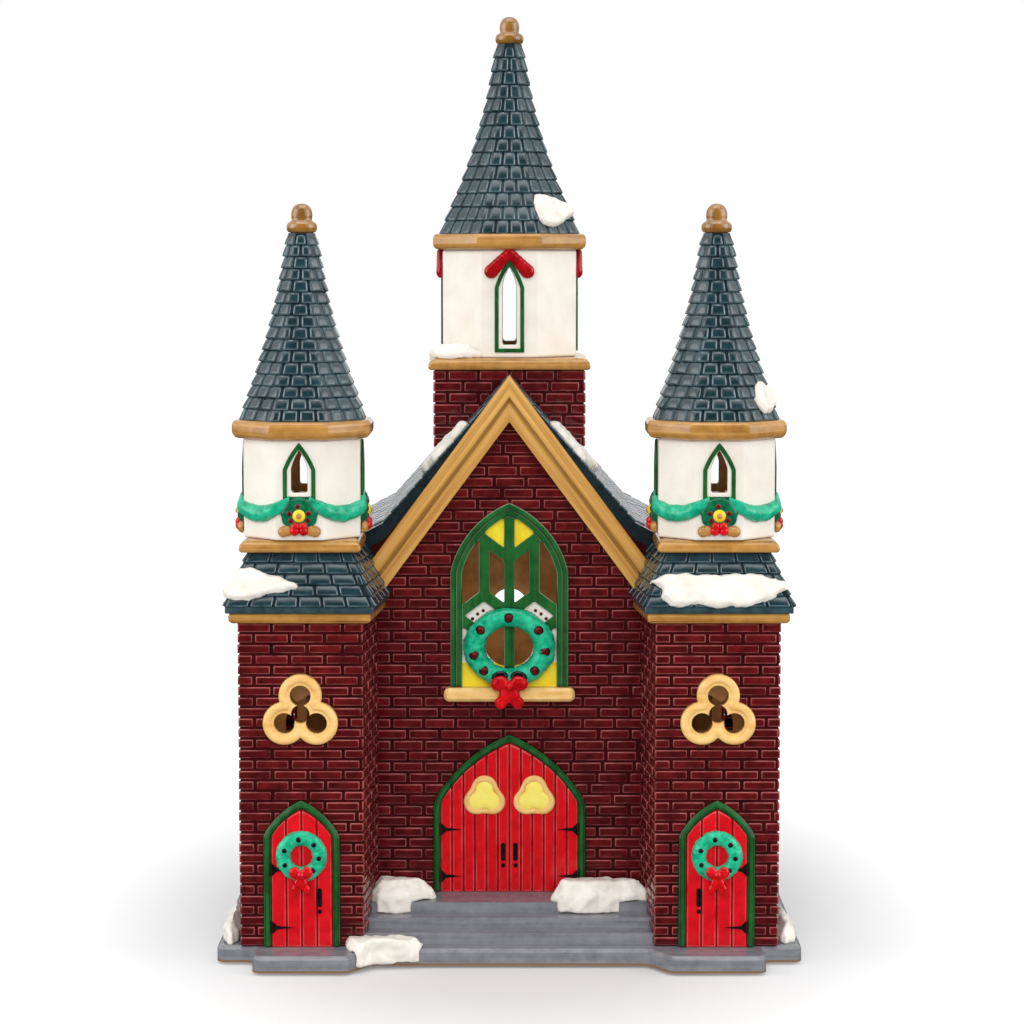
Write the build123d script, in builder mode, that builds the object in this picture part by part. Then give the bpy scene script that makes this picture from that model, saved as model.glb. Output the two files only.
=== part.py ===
from build123d import *
import math
import os

# A ceramic village church: three steeples, a gabled brick front between two towers,
# moulded doors and a battery light unit in the underside.
# Sizes are millimetres. The origin is on the table under the middle of the base,
# +X to the viewer's right, -Y towards the viewer, +Z up.

# Ceramic body
ceramic_wall = 5.0
fit_gap = 0.3

# Feet and base
pad_thickness = 1.0
pad_diameter = 14.0
pad_inset = 15.0
base_thickness = 6.6
base_width = 236.0
base_back_reach = 187.0
base_corner = 4.0
base_bevel = 1.4
platform_reach = 17.0
platform_width = 38.0
platform_chamfer = 9.0
stair_reach = 5.0

# Stair between the towers
step_count = 3
landing_height = 13.1
landing_depth = 20.0
step_tread = 8.0

# Entrance towers
base_margin = 10.4
tower_width = 48.6
tower_flare = 5.0
tower_height = 131.5
eave_overhang = 4.0
eave_height = 4.2
eave_nose = 1.7
skirt_overhang = 5.2
skirt_height = 23.7
skirt_lip = 2.6
skirt_top_width = 40.5
skirt_courses = 5
course_lip = 0.7

# Turrets on the towers
turret_ledge_width = 48.6
turret_ledge_height = 4.8
turret_drum_width = 47.0
turret_drum_height = 40.0
turret_cornice_width = 55.8
turret_cornice_height = 7.3
turret_spire_width = 48.9
turret_spire_height = 74.5
turret_spire_flare = 20.6
turret_spire_courses = 16

# Belfry on the nave roof
belfry_front_reach = 85.0
belfry_width = 63.4
belfry_rise = 2.0
belfry_ledge_width = 69.0
belfry_ledge_height = 5.0
belfry_drum_width = 57.7
belfry_drum_height = 46.0
belfry_cornice_width = 66.0
belfry_cornice_height = 6.8
belfry_spire_width = 59.7
belfry_spire_height = 81.6
belfry_spire_flare = 31.8
belfry_spire_courses = 14
light_shaft = 36.0

# Shares of a ledge's or a cornice's height that its edges take
ledge_weathering = 0.35
ledge_slope = 0.5
ledge_nose = 0.25
cornice_belly = 0.42
cornice_shoulder = 0.3

# Spire tips and finials
spire_hollow = 0.5
spire_tip_width = 10.4
finial_collar = 12.4
finial_collar_height = 4.9
finial_knob = 8.7
finial_height = 11.8

# Nave, aisles and roofs
nave_recess = 40.0
nave_back_reach = 178.0
nave_half_width = 90.0
ridge_height = 226.4
roof_pitch = 48.6
roof_kink_half = 52.0
aisle_pitch = 28.0
aisle_eave = 5.0
roof_drop = 7.0
roof_back_overhang = 4.0
rear_hole_diameter = 16.4
rear_hole_height = 115.4
port_sill = 39.4
port_width = 19.4
port_jamb = 46.0
port_rise = 9.7

# Gable trim
trim_rise = 2.1
trim_pitch = 53.35
trim_drop = 19.0
trim_end_half = 56.2
trim_end_cut = 4.8
trim_depth = 8.0
trim_step = 2.2
trim_groove_top = 0.46
trim_groove_bottom = 0.6

# Great window over the door
window_width = 48.5
window_bottom = 99.4
window_jamb = 48.0
window_rise = 28.4
window_bulge = 0.124
window_frame = 4.7
window_frame_depth = 2.6
mullion_width = 4.2
side_mullion_width = 4.3
side_mullion_x = 10.4
fork_low = 38.4
fork_high = 53.5
fork_slope = 0.75
mullion_depth = 1.8
mullion_bed = 0.75
pane_thickness = 2.0
sill_width = 54.0
sill_height = 5.6
sill_depth = 6.0
sill_round = 2.3
sill_bevel = 1.2
fork_under = 21.0
wreath_width = 38.0
wreath_height = 32.8
wreath_hole = 0.52
wreath_depth = 6.0
wreath_bevel = 0.4
wreath_facets = 28

# Doors
arch_bulge = 0.085
arch_shoulder = 0.25
main_door_width = 63.2
main_door_jamb = 37.9
main_door_rise = 28.4
side_door_width = 30.6
side_door_jamb = 45.4
side_door_rise = 14.4
door_frame = 3.0
door_frame_depth = 2.4
door_frame_step = 0.6
leaf_thickness = 1.4
plank_width = 5.1
plank_groove = 0.6
door_wreath_height = 37.4
door_wreath_width = 20.6
door_wreath_hole = 0.41
door_wreath_depth = 3.6

# Trefoils
trefoil_lobe = 8.6
trefoil_hole = 4.2
trefoil_spread = 7.4
trefoil_height = 95.0
trefoil_depth = 3.0
door_trefoil_lobe = 4.7
door_trefoil_spread = 4.4
door_trefoil_x = 10.4
door_trefoil_above = 39.8

# Lancet windows in the drums
turret_lancet_width = 6.4
turret_lancet_jamb = 9.2
turret_lancet_rise = 7.4
turret_lancet_sill = 19.2
belfry_lancet_width = 6.0
belfry_lancet_jamb = 24.4
belfry_lancet_rise = 8.6
belfry_lancet_sill = 5.6
lancet_bulge = 0.045
lancet_reveal = 1.6
lancet_trim = 1.7
lancet_trim_depth = 0.9

# Garlands, bows and ironwork
garland_height = 12.5
garland_depth = 2.6
garland_width = 5.4
garland_sag = 5.0
rosette_diameter = 14.0
rosette_height = 10.7
rosette_facets = 12
bow_width = 15.1
bow_height = 14.4
bow_rise = 1.2
bow_thickness = 2.4
door_bow_width = 9.2
door_bow_height = 11.8
door_bow_thickness = 1.7
door_bow_drop = 7.2
drape_half = 7.4
drape_drop = 9.2
drape_width = 5.8
drape_depth = 3.2
drape_facets = 8
iron_thickness = 0.9
iron_strap = 8.6
iron_strap_width = 1.9
iron_plate = 5.4
iron_pull = 7.6
iron_pull_round = 0.85
keyhole_drop = 5.7
keyhole_facets = 8
low_hinge = 0.18
high_hinge = 0.7
pull_level = 0.45

# Snow
snow_depth = 3.0
snow_pile = 9.0
snow_lap = 2.4
snow_corners = 14
spire_snow_share = 0.115
spire_snow_lean = 24.0
snow_lean = 35.0

# Battery light unit in the underside
cell_diameter = 14.5
cell_length = 50.5
cell_count = 3
tray_wall = 1.8
tray_flange = 4.0
tray_floor = 1.8
tray_recess = 0.8
cell_gap = 0.5
contact_room = 2.0
switch_room = 12.0
hinge_pin = 1.6
hinge_clearance = 0.08
hinge_knuckle = 3.0
hinge_socket = 1.5
hinge_journal = 1.1
switch_travel = 4.0
switch_knob_length = 5.0
switch_knob_width = 3.4
door_thickness = 1.4
door_stop = 0.8
nail_notch = 14.0
knob_proud = 0.7
cell_nub = 1.0
cell_nub_diameter = 5.5
contact_leaf = 0.5
contact_height = 8.7
contact_pad = 3.6
board_thickness = 1.6
board_length = 34.0
board_width = 24.0
lamp_diameter = 10.0
lamp_height = 16.0
lamp_rim = 12.0
lamp_rim_height = 1.2

# Levels and places that follow from the sizes above
base_top = pad_thickness + base_thickness
tower_front_y = (platform_reach - base_back_reach) / 2
base_front_y = tower_front_y - platform_reach
base_back_y = tower_front_y + base_back_reach
tower_back_y = tower_front_y + tower_width
tower_center_x = base_width / 2 - base_margin - tower_width / 2
tower_center_y = tower_front_y + tower_width / 2
landing_z = base_top + landing_height
nave_front_y = tower_front_y + nave_recess
nave_back_y = tower_front_y + nave_back_reach
roof_back_y = nave_back_y + roof_back_overhang
eave_z = base_top + tower_height
skirt_z = eave_z + eave_height
turret_z = skirt_z + skirt_height
ridge_z = base_top + ridge_height
roof_slope = math.tan(math.radians(roof_pitch))
aisle_slope = math.tan(math.radians(aisle_pitch))
kink_z = ridge_z - roof_kink_half * roof_slope
aisle_half_width = nave_half_width + aisle_eave
aisle_edge_z = kink_z - (aisle_half_width - roof_kink_half) * aisle_slope
belfry_y = tower_front_y + belfry_front_reach + belfry_width / 2
belfry_z = ridge_z + belfry_rise
window_z = base_top + window_bottom
trim_apex_z = ridge_z + trim_rise
sides = {"left": -1, "right": 1}
os.makedirs("parts", exist_ok=True)


def finish(piece, label):
    """Names a finished piece and writes its file."""
    piece.part.label = label
    export_step(piece.part, f"parts/{label}.step")


def level(x, y, z):
    """A horizontal plane with its origin at that point."""
    return Plane(origin=(x, y, z))


def facing_front(x, y, z):
    """A vertical plane whose normal points at the viewer and whose second axis is up."""
    return Plane(origin=(x, y, z), x_dir=(1, 0, 0), z_dir=(0, -1, 0))


def facing_out(x, y, z, turn, reach):
    """A vertical plane on a drum's face, turned about the drum's axis from the front."""
    angle = math.radians(turn)
    out = (math.sin(angle), -math.cos(angle), 0)
    along = (math.cos(angle), math.sin(angle), 0)
    return Plane(origin=(x + reach * out[0], y + reach * out[1], z), x_dir=along, z_dir=out)


def lean(draw_in, height):
    """The angle from upright, in degrees, of a slope that draws in by that much over its height."""
    return math.degrees(math.atan2(draw_in, height))


def octagon(width):
    """A regular octagon with its flats to the front, back and sides."""
    RegularPolygon(width / 2, 8, major_radius=False, rotation=22.5)


def pointed_arch(width, jamb, rise, bulge, inset=0.0, sill=0.0):
    """A pointed arch with rounded shoulders, drawn in by inset. Its sides bulge from a straight slope."""
    half = width / 2
    slope = math.hypot(half, rise)
    radius = slope / (8 * bulge) + slope * bulge / 2
    reach = radius - slope * bulge
    center_x = half / 2 - reach * rise / slope
    center_z = jamb + rise / 2 - reach * half / slope
    foot = half - inset

    def height_at(x):
        return center_z + math.sqrt((radius - inset) ** 2 - (x - center_x) ** 2)

    with BuildSketch() as arch:
        with BuildLine():
            Polyline((-foot, height_at(foot)), (-foot, sill), (foot, sill), (foot, height_at(foot)))
            for side in sides.values():
                ThreePointArc(
                    (side * foot, height_at(foot)),
                    (side * foot / 2, height_at(foot / 2)),
                    (0, height_at(0)),
                )
        make_face()
        fillet(arch.vertices().group_by(Axis.Y)[1], radius=arch_shoulder * width - inset)
    return arch.sketch


def trefoil(lobe, spread):
    """Three round lobes about a centre, one of them on top."""
    with BuildSketch() as leaf:
        with PolarLocations(spread, 3, start_angle=90):
            Circle(lobe)
        Circle(spread / 2)
    return leaf.sketch


def tower_outline(side, grow=0.0):
    """Plan of an entrance tower: square in front, wider towards the back on its inner side."""
    inner = tower_center_x - tower_width / 2 - grow
    outer = tower_center_x + tower_width / 2 + grow
    front = tower_front_y - grow
    back = tower_back_y + grow
    corners = [(inner, front), (outer, front), (outer, back), (inner - tower_flare, back)]
    with BuildSketch() as plan:
        with BuildLine():
            Polyline(*[(side * x, y) for x, y in corners[::side]], close=True)
        make_face()
    return plan.sketch


def skirt_grow(share):
    """How far the skirt roof stands out from the tower's plan at a share of its slope."""
    return skirt_overhang + ((skirt_top_width - tower_width) / 2 - skirt_overhang) * share


def skirt_solid(side):
    """The skirt roof's outer form: overlapping slate courses over a plain lip."""
    course_height = (skirt_height - skirt_lip) / skirt_courses
    with BuildPart() as skirt:
        with BuildSketch(Plane.XY.offset(skirt_z)):
            add(tower_outline(side, skirt_overhang))
        extrude(amount=skirt_lip)
        for course in range(skirt_courses):
            course_z = skirt_z + skirt_lip + course * course_height
            foot = skirt_grow(course / skirt_courses) + (0 if course == 0 else course_lip)
            draw_in = foot - skirt_grow((course + 1) / skirt_courses)
            with BuildSketch(Plane.XY.offset(course_z)):
                add(tower_outline(side, foot))
            extrude(amount=course_height, taper=lean(draw_in, course_height))
    return skirt.part


def tower_envelope(side):
    """Everything that a tower, its eave, its skirt and its ledge take up, without their hollows."""
    with BuildPart() as envelope:
        with BuildSketch(Plane.XY.offset(base_top)):
            add(tower_outline(side))
        extrude(amount=tower_height)
        with BuildSketch(Plane.XY.offset(eave_z)):
            add(tower_outline(side, eave_overhang))
        extrude(amount=eave_height)
        add(skirt_solid(side))
        with BuildSketch(level(side * tower_center_x, tower_center_y, turret_z)):
            Rectangle(turret_ledge_width, turret_ledge_width)
        extrude(amount=turret_ledge_height)
    return envelope.part


def roof_outline(drop, floor_z, half_width):
    """Section across the nave under the roof's surface, lowered by drop, down to floor_z."""
    edge = min(half_width, roof_kink_half)
    edge_z = ridge_z - drop - edge * roof_slope
    side_z = edge_z - (half_width - edge) * aisle_slope
    slope = [(half_width, side_z), (edge, edge_z)] if half_width > edge else [(edge, edge_z)]
    right = [(half_width, floor_z)] + slope
    left = [(-x, z) for x, z in reversed(right)]
    with BuildSketch() as section:
        with BuildLine():
            Polyline(*right, (0, ridge_z - drop), *left, close=True)
        make_face()
    return section.sketch


def spire(x, y, z, width, height, flare, courses, name):
    """A hollow octagonal spire in overlapping slate courses, its foot swept out a little."""

    def width_at(share):
        straight = spire_tip_width + (width - flare - spire_tip_width) * (1 - share)
        return straight + flare * (1 - share) ** 2

    with BuildPart() as cone:
        for course in range(courses):
            low = course / courses
            high = (course + 1) / courses
            foot_width = width_at(low) + (0 if course == 0 else 2 * course_lip)
            draw_in = (foot_width - width_at(high)) / 2
            with BuildSketch(level(x, y, z + low * height)):
                octagon(foot_width)
            extrude(amount=height / courses, taper=lean(draw_in, height / courses))
        hollow_width = width - flare - 2 * ceramic_wall
        hollow_lean = lean(width - flare - spire_tip_width, 2 * height)
        with BuildSketch(level(x, y, z)):
            octagon(hollow_width)
        extrude(amount=spire_hollow * height, taper=hollow_lean, mode=Mode.SUBTRACT)
    finish(cone, name)
    return cone.part


def finial(x, y, z, name):
    """A turned knob: a beaded collar under a domed top, in plain turned bands."""
    collar = finial_collar / 2
    knob = finial_knob / 2
    dome = finial_height - finial_collar_height
    with BuildPart() as tip:
        with BuildSketch(facing_front(x, y, z)):
            with BuildLine():
                Polyline(
                    (0, 0),
                    (0.8 * collar, 0),
                    (collar, 0.45 * finial_collar_height),
                    (0.8 * collar, 0.95 * finial_collar_height),
                    (0.9 * knob, finial_collar_height),
                    (knob, finial_collar_height + 0.4 * dome),
                    (0.75 * knob, finial_collar_height + 0.8 * dome),
                    (0.3 * knob, finial_height),
                    (0, finial_height),
                    close=True,
                )
            make_face()
        revolve(axis=Axis((x, y, z), (0, 0, 1)))
    finish(tip, name)


def square_ledge(x, y, z, width, height, hole, name):
    """A square moulded ledge with a weathered top and an octagonal light hole."""
    with BuildPart() as ledge:
        with BuildSketch(level(x, y, z)):
            Rectangle(width, width)
        extrude(amount=height)
        top_edges = ledge.edges().group_by(Axis.Z)[-1]
        chamfer(top_edges, length=height * ledge_weathering, length2=height * ledge_slope)
        fillet(ledge.edges().group_by(Axis.Z)[0], radius=height * ledge_nose)
        with BuildSketch(level(x, y, z)):
            octagon(hole)
        extrude(amount=height, mode=Mode.SUBTRACT)
    finish(ledge, name)
    return ledge.part


def octagonal_cornice(x, y, z, width, height, hole, name):
    """An eight-sided moulding with a rounded nose under a spire."""
    with BuildPart() as cornice:
        with BuildSketch(level(x, y, z)):
            octagon(width)
        extrude(amount=height)
        fillet(cornice.edges().group_by(Axis.Z)[0], radius=height * cornice_belly)
        fillet(cornice.edges().group_by(Axis.Z)[-1], radius=height * cornice_shoulder)
        with BuildSketch(level(x, y, z)):
            octagon(hole)
        extrude(amount=height, mode=Mode.SUBTRACT)
    finish(cornice, name)


def drum(x, y, z, width, height, lancet, name):
    """A hollow eight-sided drum with a lancet window in each of its four square faces."""
    lancet_width, jamb, rise, sill = lancet
    with BuildPart() as shell:
        with BuildSketch(level(x, y, z)):
            octagon(width)
            octagon_hole(width - 2 * ceramic_wall)
        extrude(amount=height)
        for turn in (0, 90):
            with BuildSketch(facing_out(x, y, z + sill, turn, 0)):
                add(pointed_arch(lancet_width, jamb, rise, lancet_bulge))
            extrude(amount=width, both=True, mode=Mode.SUBTRACT)
    finish(shell, name)
    return shell.part


def octagon_hole(width):
    """An octagonal hole in the sketch being drawn."""
    RegularPolygon(width / 2, 8, major_radius=False, rotation=22.5, mode=Mode.SUBTRACT)


def lancet_trims(x, y, z, width, lancet):
    """The raised trims round a drum's four lancets."""
    lancet_width, jamb, rise, sill = lancet
    grow = lancet_reveal + lancet_trim
    outer = (lancet_width + 2 * grow, jamb + grow, rise + grow, lancet_bulge)
    with BuildPart() as trims:
        for turn in (0, 90, 180, 270):
            with BuildSketch(facing_out(x, y, z + sill - grow, turn, width / 2)):
                add(pointed_arch(*outer))
                add(pointed_arch(*outer, lancet_trim, lancet_trim), mode=Mode.SUBTRACT)
            extrude(amount=lancet_trim_depth)
    return trims.part


def oval(width, height, share, rise=0.0):
    """A facetted oval at a share of its full size, its centre raised by rise."""
    points = []
    for facet in range(wreath_facets):
        angle = 2 * math.pi * facet / wreath_facets
        points.append((share * width / 2 * math.cos(angle), rise + share * height / 2 * math.sin(angle)))
    with BuildSketch() as outline:
        with BuildLine():
            Polyline(*points, close=True)
        make_face()
    return outline.sketch


def wreath(x, y, z, width, height, hole, depth):
    """A moulded wreath on a wall that faces the viewer, its rims sloped up to a flat crown."""
    with BuildPart() as ring:
        with BuildSketch(facing_front(x, y, z)):
            add(oval(width, height, 1))
            add(oval(width, height, hole), mode=Mode.SUBTRACT)
        extrude(amount=depth)
        chamfer(ring.faces().sort_by(Axis.Y)[0].edges(), length=wreath_bevel * depth)
    return ring.part


def bow(x, y, z, width, height, thickness):
    """A flat ribbon bow about its knot: two full loops and two broad tails."""
    half = [
        (0, 0.14),
        (0.14, 0.3),
        (0.36, 0.35),
        (0.5, 0.2),
        (0.44, 0.02),
        (0.2, -0.04),
        (0.36, -0.52),
        (0.2, -0.65),
        (0.05, -0.55),
        (0, -0.34),
    ]
    right = [(share_x * width, share_z * height) for share_x, share_z in half]
    left = [(-share_x, share_z) for share_x, share_z in reversed(right[1:-1])]
    with BuildPart() as ribbon:
        with BuildSketch(facing_front(x, y, z)):
            with BuildLine():
                Polyline(*right, *left, close=True)
            make_face()
        extrude(amount=thickness)
    return ribbon.part


def leaning(x, y, z, turn, reach, lean):
    """A plane like facing_out, tipped back by lean so that it lies on a sloping roof."""
    upright = facing_out(x, y, z, turn, reach)
    tip = math.radians(lean)
    out = upright.z_dir * math.cos(tip) + Vector(0, 0, math.sin(tip))
    return Plane(origin=upright.origin, x_dir=upright.x_dir, z_dir=out)


def drift_outline(length, width, phase, square, taper):
    """A wavering closed outline: square fills its corners, taper thins its right end."""
    points = []
    for corner in range(snow_corners):
        angle = 2 * math.pi * corner / snow_corners
        waver = 0.88 + 0.08 * math.sin(3 * angle + phase) + 0.04 * math.sin(5 * angle + 2 * phase)
        full = (abs(math.cos(angle)) ** square + abs(math.sin(angle)) ** square) ** (-1 / square)
        x = waver * full * math.cos(angle)
        y = waver * full * math.sin(angle) * (1 - taper * (1 + math.cos(angle)) / 2)
        points.append((length / 2 * x, width / 2 * y))
    return points


def snow_drift(plane, size, form, sink, carriers):
    """A drift of snow with a rounded top. Its form is a phase, a squareness and a taper."""
    length, width, depth = size
    with BuildPart() as drift:
        for low, high, taper in ((-sink, depth / 3, 0), (depth / 3, depth, snow_lean)):
            with BuildSketch(plane.offset(low)):
                with BuildLine():
                    Polyline(*drift_outline(length, width, *form), close=True)
                make_face()
            extrude(amount=high - low, taper=taper)
        for carrier in carriers:
            add(carrier, mode=Mode.SUBTRACT)
    return drift.part


turret_lancet = (turret_lancet_width, turret_lancet_jamb, turret_lancet_rise, turret_lancet_sill)
belfry_lancet = (belfry_lancet_width, belfry_lancet_jamb, belfry_lancet_rise, belfry_lancet_sill)
window_arch = (window_width, window_jamb, window_rise, window_bulge)
turret_hole = turret_drum_width - 2 * ceramic_wall
envelopes = {name: tower_envelope(side) for name, side in sides.items()}

# Light unit places, needed by the opening in the base
cells_width = cell_count * cell_diameter + (cell_count + 1) * cell_gap
cells_length = cell_length + 2 * contact_room
tray_length = cells_length + switch_room + 3 * tray_wall
tray_width = cells_width + 2 * tray_wall
tray_y = belfry_y
tray_z = pad_thickness + tray_recess
tray_inner_z = tray_z + tray_floor
tray_roof_z = tray_inner_z + cell_diameter + 2 * cell_gap
tray_top_z = tray_roof_z + tray_wall
cells_x = -(switch_room + tray_wall) / 2
switch_x = tray_length / 2 - tray_wall - switch_room / 2

# Base with its platforms, stair and light opening
platform_inner_x = tower_center_x - platform_width / 2
platform_outer_x = tower_center_x + platform_width / 2
stair_half = tower_center_x - tower_width / 2
stair_front_y = tower_front_y - stair_reach
base_half = base_width / 2
base_right = [
    (platform_inner_x - platform_chamfer, stair_front_y),
    (platform_inner_x, base_front_y),
    (platform_outer_x, base_front_y),
    (platform_outer_x, tower_front_y),
    (base_half, tower_front_y),
    (base_half, base_back_y),
]
base_left = [(-x, y) for x, y in reversed(base_right)]
landing_front_y = nave_front_y - landing_depth
step_rise = landing_height / step_count
stair_profile = [(nave_front_y, base_top)]
for step in range(step_count):
    riser_y = landing_front_y - (step_count - 1 - step) * step_tread
    stair_profile.append((riser_y, base_top + step * step_rise))
    stair_profile.append((riser_y, base_top + (step + 1) * step_rise))
stair_profile.append((nave_front_y, landing_z))

with BuildPart() as base_plinth:
    with BuildSketch(Plane.XY.offset(pad_thickness)) as base_plan:
        with BuildLine():
            Polyline(*base_right, *base_left, close=True)
        make_face()
        fillet(base_plan.vertices(), radius=base_corner)
    extrude(amount=base_thickness)
    chamfer(base_plinth.edges().group_by(Axis.Z)[-1], length=base_bevel)
    with BuildSketch(Plane.YZ.offset(-stair_half)):
        with BuildLine():
            Polyline(*stair_profile, close=True)
        make_face()
    extrude(amount=2 * stair_half)
    for side in sides.values():
        with BuildSketch(Plane.XY.offset(base_top)):
            add(tower_outline(side))
        extrude(amount=2 * landing_height, mode=Mode.SUBTRACT)
    with BuildSketch(level(0, landing_front_y + landing_depth / 2, pad_thickness)):
        Rectangle(2 * (stair_half - tower_flare - ceramic_wall), landing_depth - 2 * ceramic_wall)
    extrude(amount=base_thickness + landing_height - ceramic_wall, mode=Mode.SUBTRACT)
    with BuildSketch(level(0, tray_y, pad_thickness)):
        Rectangle(tray_length + 2 * fit_gap, tray_width + 2 * fit_gap)
    extrude(amount=base_thickness, mode=Mode.SUBTRACT)
    with BuildSketch(level(0, tray_y, pad_thickness)):
        Rectangle(
            tray_length + 2 * (tray_flange + fit_gap), tray_width + 2 * (tray_flange + fit_gap)
        )
    extrude(amount=tray_recess + tray_floor, mode=Mode.SUBTRACT)
finish(base_plinth, "base_plinth")

with BuildPart() as felt_pads:
    for side in sides.values():
        for pad_y in (tower_front_y + pad_inset, base_back_y - pad_inset):
            with BuildSketch(level(side * (base_half - pad_inset), pad_y, 0)):
                Circle(pad_diameter / 2)
            extrude(amount=pad_thickness)
finish(felt_pads, "felt_pads")


def light_port(side):
    """An arched way for the light between a tower and the aisle behind it."""
    with BuildPart() as port:
        with BuildSketch(facing_front(side * tower_center_x, tower_back_y, base_top + port_sill)):
            add(pointed_arch(port_width, port_jamb, port_rise, arch_bulge))
        extrude(amount=ceramic_wall, both=True)
    return port.part


# Towers, their eaves, skirt roofs and turrets
for name, side in sides.items():
    turret_x = side * tower_center_x
    with BuildPart() as tower_walls:
        with BuildSketch(Plane.XY.offset(base_top)):
            add(tower_outline(side))
            add(tower_outline(side, -ceramic_wall), mode=Mode.SUBTRACT)
        extrude(amount=tower_height)
        with BuildSketch(facing_front(turret_x, tower_front_y, base_top + trefoil_height)):
            add(trefoil(trefoil_hole, trefoil_spread))
        extrude(amount=-ceramic_wall, mode=Mode.SUBTRACT)
        add(light_port(side), mode=Mode.SUBTRACT)
    finish(tower_walls, f"{name}_tower_walls")

    with BuildPart() as tower_eave:
        with BuildSketch(Plane.XY.offset(eave_z)):
            add(tower_outline(side, eave_overhang))
        extrude(amount=eave_height)
        fillet(tower_eave.edges().group_by(Axis.Z)[0], radius=eave_nose)
        with BuildSketch(Plane.XY.offset(eave_z)):
            add(tower_outline(side, -ceramic_wall))
        extrude(amount=eave_height, mode=Mode.SUBTRACT)
    finish(tower_eave, f"{name}_tower_eave")

    with BuildPart() as tower_skirt:
        add(skirt_solid(side))
        hollow_draw_in = skirt_grow(0) - skirt_grow(1) - ceramic_wall
        with BuildSketch(Plane.XY.offset(skirt_z)):
            add(tower_outline(side, skirt_grow(0) - 2 * ceramic_wall))
        extrude(amount=skirt_height, taper=lean(hollow_draw_in, skirt_height), mode=Mode.SUBTRACT)
    finish(tower_skirt, f"{name}_tower_skirt")

    ledge_top = turret_z + turret_ledge_height
    drum_top = ledge_top + turret_drum_height
    spire_z = drum_top + turret_cornice_height
    square_ledge(
        turret_x,
        tower_center_y,
        turret_z,
        turret_ledge_width,
        turret_ledge_height,
        turret_hole - 2 * ceramic_wall,
        f"{name}_turret_ledge",
    )
    turret_drum = drum(
        turret_x,
        tower_center_y,
        ledge_top,
        turret_drum_width,
        turret_drum_height,
        turret_lancet,
        f"{name}_turret_drum",
    )
    octagonal_cornice(
        turret_x,
        tower_center_y,
        drum_top,
        turret_cornice_width,
        turret_cornice_height,
        turret_hole - 2 * ceramic_wall,
        f"{name}_turret_cornice",
    )
    turret_spire = spire(
        turret_x,
        tower_center_y,
        spire_z,
        turret_spire_width,
        turret_spire_height,
        turret_spire_flare,
        turret_spire_courses,
        f"{name}_turret_spire",
    )
    finial(turret_x, tower_center_y, spire_z + turret_spire_height, f"{name}_turret_finial")

    face_half = turret_drum_width * math.tan(math.radians(22.5)) / 2
    with BuildPart() as turret_garland:
        for turn in range(0, 360, 45):
            swag_plane = facing_out(
                turret_x, tower_center_y, ledge_top + garland_height, turn, turret_drum_width / 2
            )
            with BuildSketch(swag_plane):
                if turn % 90:
                    with BuildLine():
                        ThreePointArc((-face_half, 0), (0, -garland_sag), (face_half, 0))
                        Line((face_half, 0), (face_half, garland_width))
                        ThreePointArc(
                            (face_half, garland_width),
                            (0, garland_width - garland_sag),
                            (-face_half, garland_width),
                        )
                        Line((-face_half, garland_width), (-face_half, 0))
                    make_face()
                else:
                    with Locations((0, garland_width / 2)):
                        Rectangle(2 * face_half, garland_width)
                    with Locations((0, rosette_height - garland_height)):
                        RegularPolygon(rosette_diameter / 2, rosette_facets)
            extrude(amount=garland_depth)
        add(
            lancet_trims(turret_x, tower_center_y, ledge_top, turret_drum_width, turret_lancet),
            mode=Mode.SUBTRACT,
        )
    finish(turret_garland, f"{name}_turret_garland")

with BuildPart() as turret_window_trims:
    for side in sides.values():
        add(
            lancet_trims(
                side * tower_center_x,
                tower_center_y,
                turret_z + turret_ledge_height,
                turret_drum_width,
                turret_lancet,
            )
        )
finish(turret_window_trims, "turret_window_trims")

# Nave walls: a bay between the towers and a wider body behind them
bay_hollow_half = stair_half - tower_flare - ceramic_wall
with BuildPart() as nave_walls:
    with BuildSketch(facing_front(0, nave_front_y, 0)):
        add(roof_outline(roof_drop, base_top, stair_half))
    extrude(amount=-(tower_back_y - nave_front_y))
    with BuildSketch(facing_front(0, tower_back_y, 0)):
        add(roof_outline(roof_drop, base_top, nave_half_width))
    extrude(amount=-(nave_back_y - tower_back_y))
    with BuildSketch(facing_front(0, nave_front_y + ceramic_wall, base_top)):
        Rectangle(2 * bay_hollow_half, ridge_height, align=(Align.CENTER, Align.MIN))
    extrude(amount=-(tower_back_y - nave_front_y), mode=Mode.SUBTRACT)
    with BuildSketch(facing_front(0, tower_back_y + ceramic_wall, base_top)):
        Rectangle(
            2 * (nave_half_width - ceramic_wall), ridge_height, align=(Align.CENTER, Align.MIN)
        )
    extrude(amount=-(nave_back_y - tower_back_y - 2 * ceramic_wall), mode=Mode.SUBTRACT)
    for name, side in sides.items():
        add(envelopes[name], mode=Mode.SUBTRACT)
        add(light_port(side), mode=Mode.SUBTRACT)
    with BuildSketch(facing_front(0, nave_front_y, window_z)):
        add(pointed_arch(*window_arch, window_frame))
    extrude(amount=-ceramic_wall, mode=Mode.SUBTRACT)
    with BuildSketch(facing_front(0, nave_back_y, base_top + rear_hole_height)):
        Circle(rear_hole_diameter / 2)
    extrude(amount=ceramic_wall, mode=Mode.SUBTRACT)
finish(nave_walls, "nave_walls")

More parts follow.
